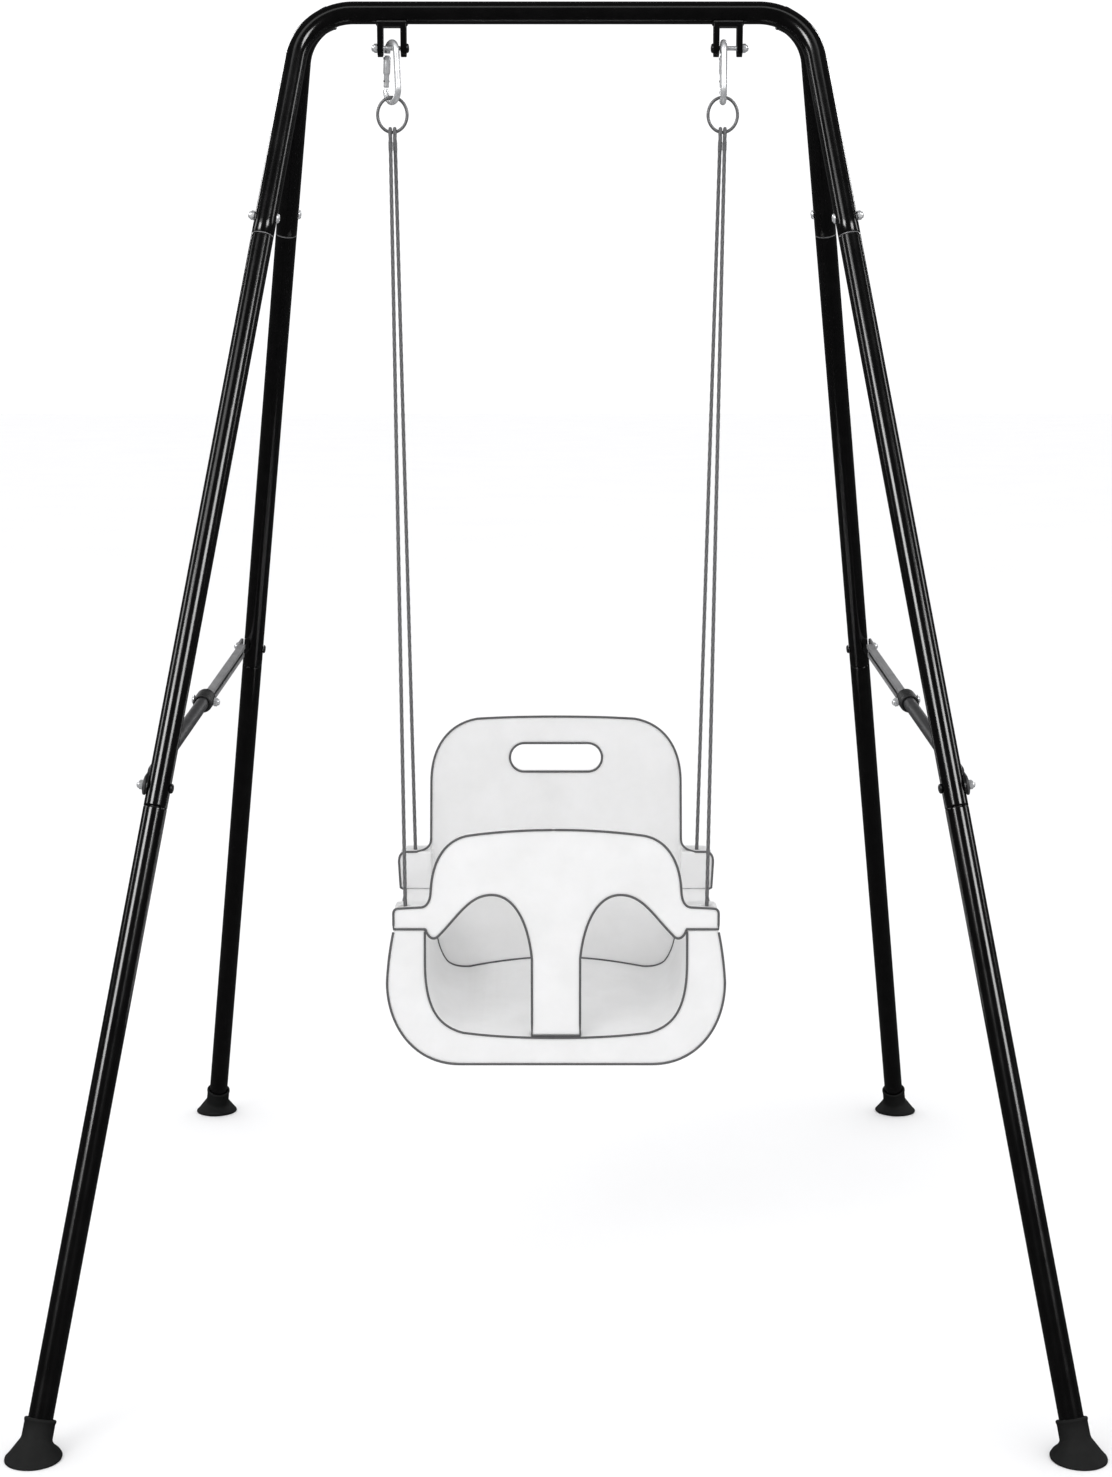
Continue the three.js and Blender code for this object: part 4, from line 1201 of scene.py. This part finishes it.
def leaned(x, y, z):
    return x, y + BACK_Y + BACK_LEAN * (z - SEAT_TOP), z


def pan_point(x, y, z):
    """A point on the pan, which rises towards the back and most in its middle."""
    half, share = PAN_CROWN
    rise = PAN_RISE * (1 - share * min(abs(x) / half, 1) ** 2)
    return x, y, z + rise * (y - SEAT_FRONT)


def make_base():
    base = slab("seat_base_detail", trough_outline().whole(), SEAT_FRONT, SEAT_REAR)
    room = slab("room", room_outline().whole(), SEAT_FRONT - 20, SEAT_REAR + 20, pan_point)
    tools = [room, block("socket", (-32, SEAT_FRONT + 4.5, PAN_Z - 10), (32, SEAT_FRONT + 23, PAN_Z + 20))]
    for side in (-1, 1):
        for index, y in enumerate(KNOT_Y):
            for name, reach, low, high in WALL_HOLES:
                inner, outer = sorted((side * WALL_ROOM, side * reach))
                corners = (inner, y - HOLE_HALF, low), (outer, y + HOLE_HALF, high)
                tools.append(block(f"{name}_{side}_{index}", *corners))
    for word in HANDS:
        tools += [rope_bore(word, end, 3.4 * MM) for end in ENDS]
    combined(base, tools, "DIFFERENCE")
    finished(moulded(base), PLASTIC, "seat", "seat_plastic", "seat_base")
    face = SEAT_FRONT - BEAD_OUT
    outer = [(x, face, z) for x, z in trough_outline().whole() if z < SEAT_TOP - 0.1]
    edge_bead("seat_base_outer_line", outer)
    rim = room_outline().whole()
    inner = [pan_point(x, face, z) for x, z in rim if z < SEAT_TOP]
    edge_bead("seat_base_inner_line", inner)


def make_back():
    rim_rear = 15.0
    shell = slab("seat_back_detail", back_outline(0).whole(), 0, 4, leaned)
    rim = slab("rim", back_outline(0).whole(), 0.0, rim_rear, leaned)
    combined(rim, [slab("rim_room", back_outline(6).whole(), -3, rim_rear + 3, leaned)], "DIFFERENCE")
    half, radius, height = SLOT
    slot_rim = slab("slot_rim", slot_outline(half + 5, radius + 5, height), 0, rim_rear, leaned)
    ears = []
    for side in (-1, 1):
        ear = Outline(171, REST_Z).line(213.5, REST_Z).line(216, 527)
        ear.curve((216, EAR_TOP), (203, EAR_TOP), steps=8).line(171, EAR_TOP)
        ears.append(slab(f"ear_{side}", ear.half() * (side, 1), EAR_FRONT, EAR_REAR))
    combined(shell, [rim, slot_rim, *ears], "UNION")
    tools = [slab("slot", slot_outline(half, radius, height), -6, rim_rear + 6, leaned)]
    tools += [rope_bore(word, "rear", 4 * MM) for word in HANDS]
    combined(shell, tools, "DIFFERENCE")
    moulded(shell)
    finished(bowed(shell, back_bow), PLASTIC, "seat", "seat_plastic", "seat_back")

    def on_face(x, z):
        return leaned(x, back_bow(x, z) - BEAD_OUT, z)

    # the back's outline runs out over the top of each ear and down its front outer edge
    sides = [on_face(x, z) for x, z in back_outline(0).half() if z > 550]
    ear_top = EAR_TOP + 0.2
    ear_face = EAR_FRONT - BEAD_OUT
    first, turn, last = np.array((sides[-1], (173.5, 104.0, ear_top), (192.0, ear_face, ear_top)))
    for t in np.linspace(0.1, 1, 10):
        sides.append(tuple((1 - t) ** 2 * first + 2 * t * (1 - t) * turn + t * t * last))
    sides += [(x, ear_face, ear_top) for x in (196, 200, 204)]
    corner = Outline(204, ear_top).curve((215.4, ear_top), (215.4, 527)).line(213.5, 491, 6)
    sides += [(x, ear_face, z) for x, z in corner.half()[1:]]
    sides += [(207 - 6 * t, 85 - 189 * t, SEAT_TOP + 0.1) for t in np.linspace(0, 1, 12)]
    mirror = [(-x, y, z) for x, y, z in sides if x > 0.01]
    edge_bead("seat_back_line", sides[::-1] + mirror)
    slot_line = [on_face(x, z) for x, z in slot_outline(half + 0.5, radius + 0.5, height)]
    edge_bead("seat_slot_line", slot_line, closed=True)
    crease = []
    for x, z in room_outline().whole():
        lifted = pan_point(x, 98, z)[2]
        if lifted < 450:
            crease.append((x, BACK_Y + BACK_LEAN * (lifted - SEAT_TOP) - 0.6, lifted + 0.4))
    edge_bead("seat_crease_line", crease, radius=1.3 * MM)


def make_guard():
    front, rear = SEAT_FRONT, SEAT_FRONT + 22
    shell = slab("seat_guard_detail", guard_outline(0).whole(), front, front + 5)
    rim = slab("guard_rim", guard_outline(0).whole(), front, rear)
    combined(rim, [slab("guard_room", guard_outline(7).whole(), front - 3, rear + 3)], "DIFFERENCE")
    extra = [rim]
    for side in (-1, 1):
        arm = Outline(165, REST_Z).line(ARM_OUT, REST_Z).line(ARM_OUT, ARM_TOP - 9)
        arm.curve((ARM_OUT, ARM_TOP - 2), (202, ARM_TOP - 1.5), steps=8).line(165, ARM_TOP - 1.5)
        extra.append(slab(f"arm_{side}", arm.half() * (side, 1), front, -104))
    extra.append(block("stem_foot", (-27, front + 7, PAN_Z - 8), (27, front + 20, PAN_Z + 16)))
    combined(shell, extra, "UNION")
    combined(shell, [rope_bore(word, "front", 8 * MM) for word in HANDS], "DIFFERENCE")
    moulded(shell)
    finished(bowed(shell, guard_bow), PLASTIC, "guard", "seat_plastic", "seat_guard")
    line = [(x, front - BEAD_OUT + guard_bow(x, z), z) for x, z in guard_outline(0).whole()]
    edge_bead("seat_guard_line", line, closed=True, body="guard")


# ---- light, floor and camera ---------------------------------------------------------------
def make_camera():
    data = bpy.data.cameras.new("camera")
    data.lens = LENS_MM
    data.sensor_width = 36
    camera = bpy.data.objects.new("camera", data)
    camera.location = CAMERA_AT
    camera.rotation_euler = (math.radians(90 - CAMERA_DOWN_DEG), 0, 0)
    bpy.context.scene.collection.objects.link(camera)
    bpy.context.scene.camera = camera


def soft_box(name, place, target, width, height, radiance, only_gloss=False):
    """A rectangular studio light, as bright as radiance from wherever it is seen."""
    data = bpy.data.lights.new(name, "AREA")
    data.shape = "RECTANGLE"
    data.size = width
    data.size_y = height
    data.energy = radiance * width * height * math.pi
    light = bpy.data.objects.new(name, data)
    light.location = place
    direction = Vector(target) - Vector(place)
    light.rotation_euler = direction.to_track_quat("-Z", "Y").to_euler()
    light.visible_camera = False
    light.visible_diffuse = not only_gloss
    bpy.context.scene.collection.objects.link(light)


def make_world():
    """A white studio that looks darker in reflections, so that black gloss paint stays black."""
    world = bpy.data.worlds.new("studio")
    bpy.context.scene.world = world
    world.use_nodes = True
    tree = world.node_tree
    background = tree.nodes["Background"]
    background.inputs["Color"].default_value = (0.99, 0.99, 1.0, 1)
    rays = tree.nodes.new("ShaderNodeLightPath")
    strength = tree.nodes.new("ShaderNodeMix")
    strength.inputs[2].default_value = ROOM_LIGHT
    strength.inputs[3].default_value = ROOM_IN_GLOSS
    tree.links.new(rays.outputs["Is Glossy Ray"], strength.inputs[0])
    tree.links.new(strength.outputs[0], background.inputs["Strength"])


def make_stage():
    mesh = bpy.data.meshes.new("floor")
    half = 40.0
    corners = [(-half, -half, 0), (half, -half, 0), (half, half, 0), (-half, half, 0)]
    mesh.from_pydata(corners, [], [(0, 1, 2, 3)])
    floor = new_object("floor", mesh)
    mesh.materials.append(pale_floor())
    floor.visible_glossy = False
    make_world()
    middle = (0.0, -0.2, 0.8)
    strips = (
        ("strip", (4.5, -5.6, 4.4), 2.7, 2.1, 1.0),
        ("back_strip", (4.2, 5.2, 4.0), 1.6, 2.4, 0.6),
        ("side_strip", (7.0, 0.3, 3.6), 1.4, 2.6, 0.35),
    )
    for word, side in (("left", -1), ("right", 1)):
        for name, (x, y, z), width, height, share in strips:
            soft_box(f"{word}_{name}", (side * x, y, z), middle, width, height, share * STRIP_LIGHT, True)
    soft_box("overhead_gloss", (0.0, -2.6, 5.6), (0.0, 0.0, 1.6), 5.0, 1.2, 1.6, True)
    soft_box("key", (-2.6, -3.2, 3.6), (0.0, 0.0, 0.5), 1.8, 1.8, 2.6)
    view = bpy.context.scene.view_settings
    view.view_transform = "Standard"
    view.look = "None"


make_camera()
ring_bottoms = {word: make_ring(word) for word in HANDS}
for word in HANDS:
    for end in ENDS:
        make_rope(word, end, ring_bottoms[word])

make_top()
for name, leg in LEGS.items():
    leg_tube(leg, leg.upper, leg.lower, f"{name}_middle_leg", True)
    seam_highlight_ring(leg)
    leg_tube(leg, leg.lower, leg.end, f"{name}_lower_leg", False)
    make_foot(leg)
    fasten(f"{name}_upper")
    fasten(f"{name}_lower", DARK_ZINC)
for word in HANDS:
    make_brace(word)
    make_bracket(word)
    fasten(f"{word}_hanger", DARK_ZINC)
    make_hook(word)
make_base()
make_back()
make_guard()
make_stage()
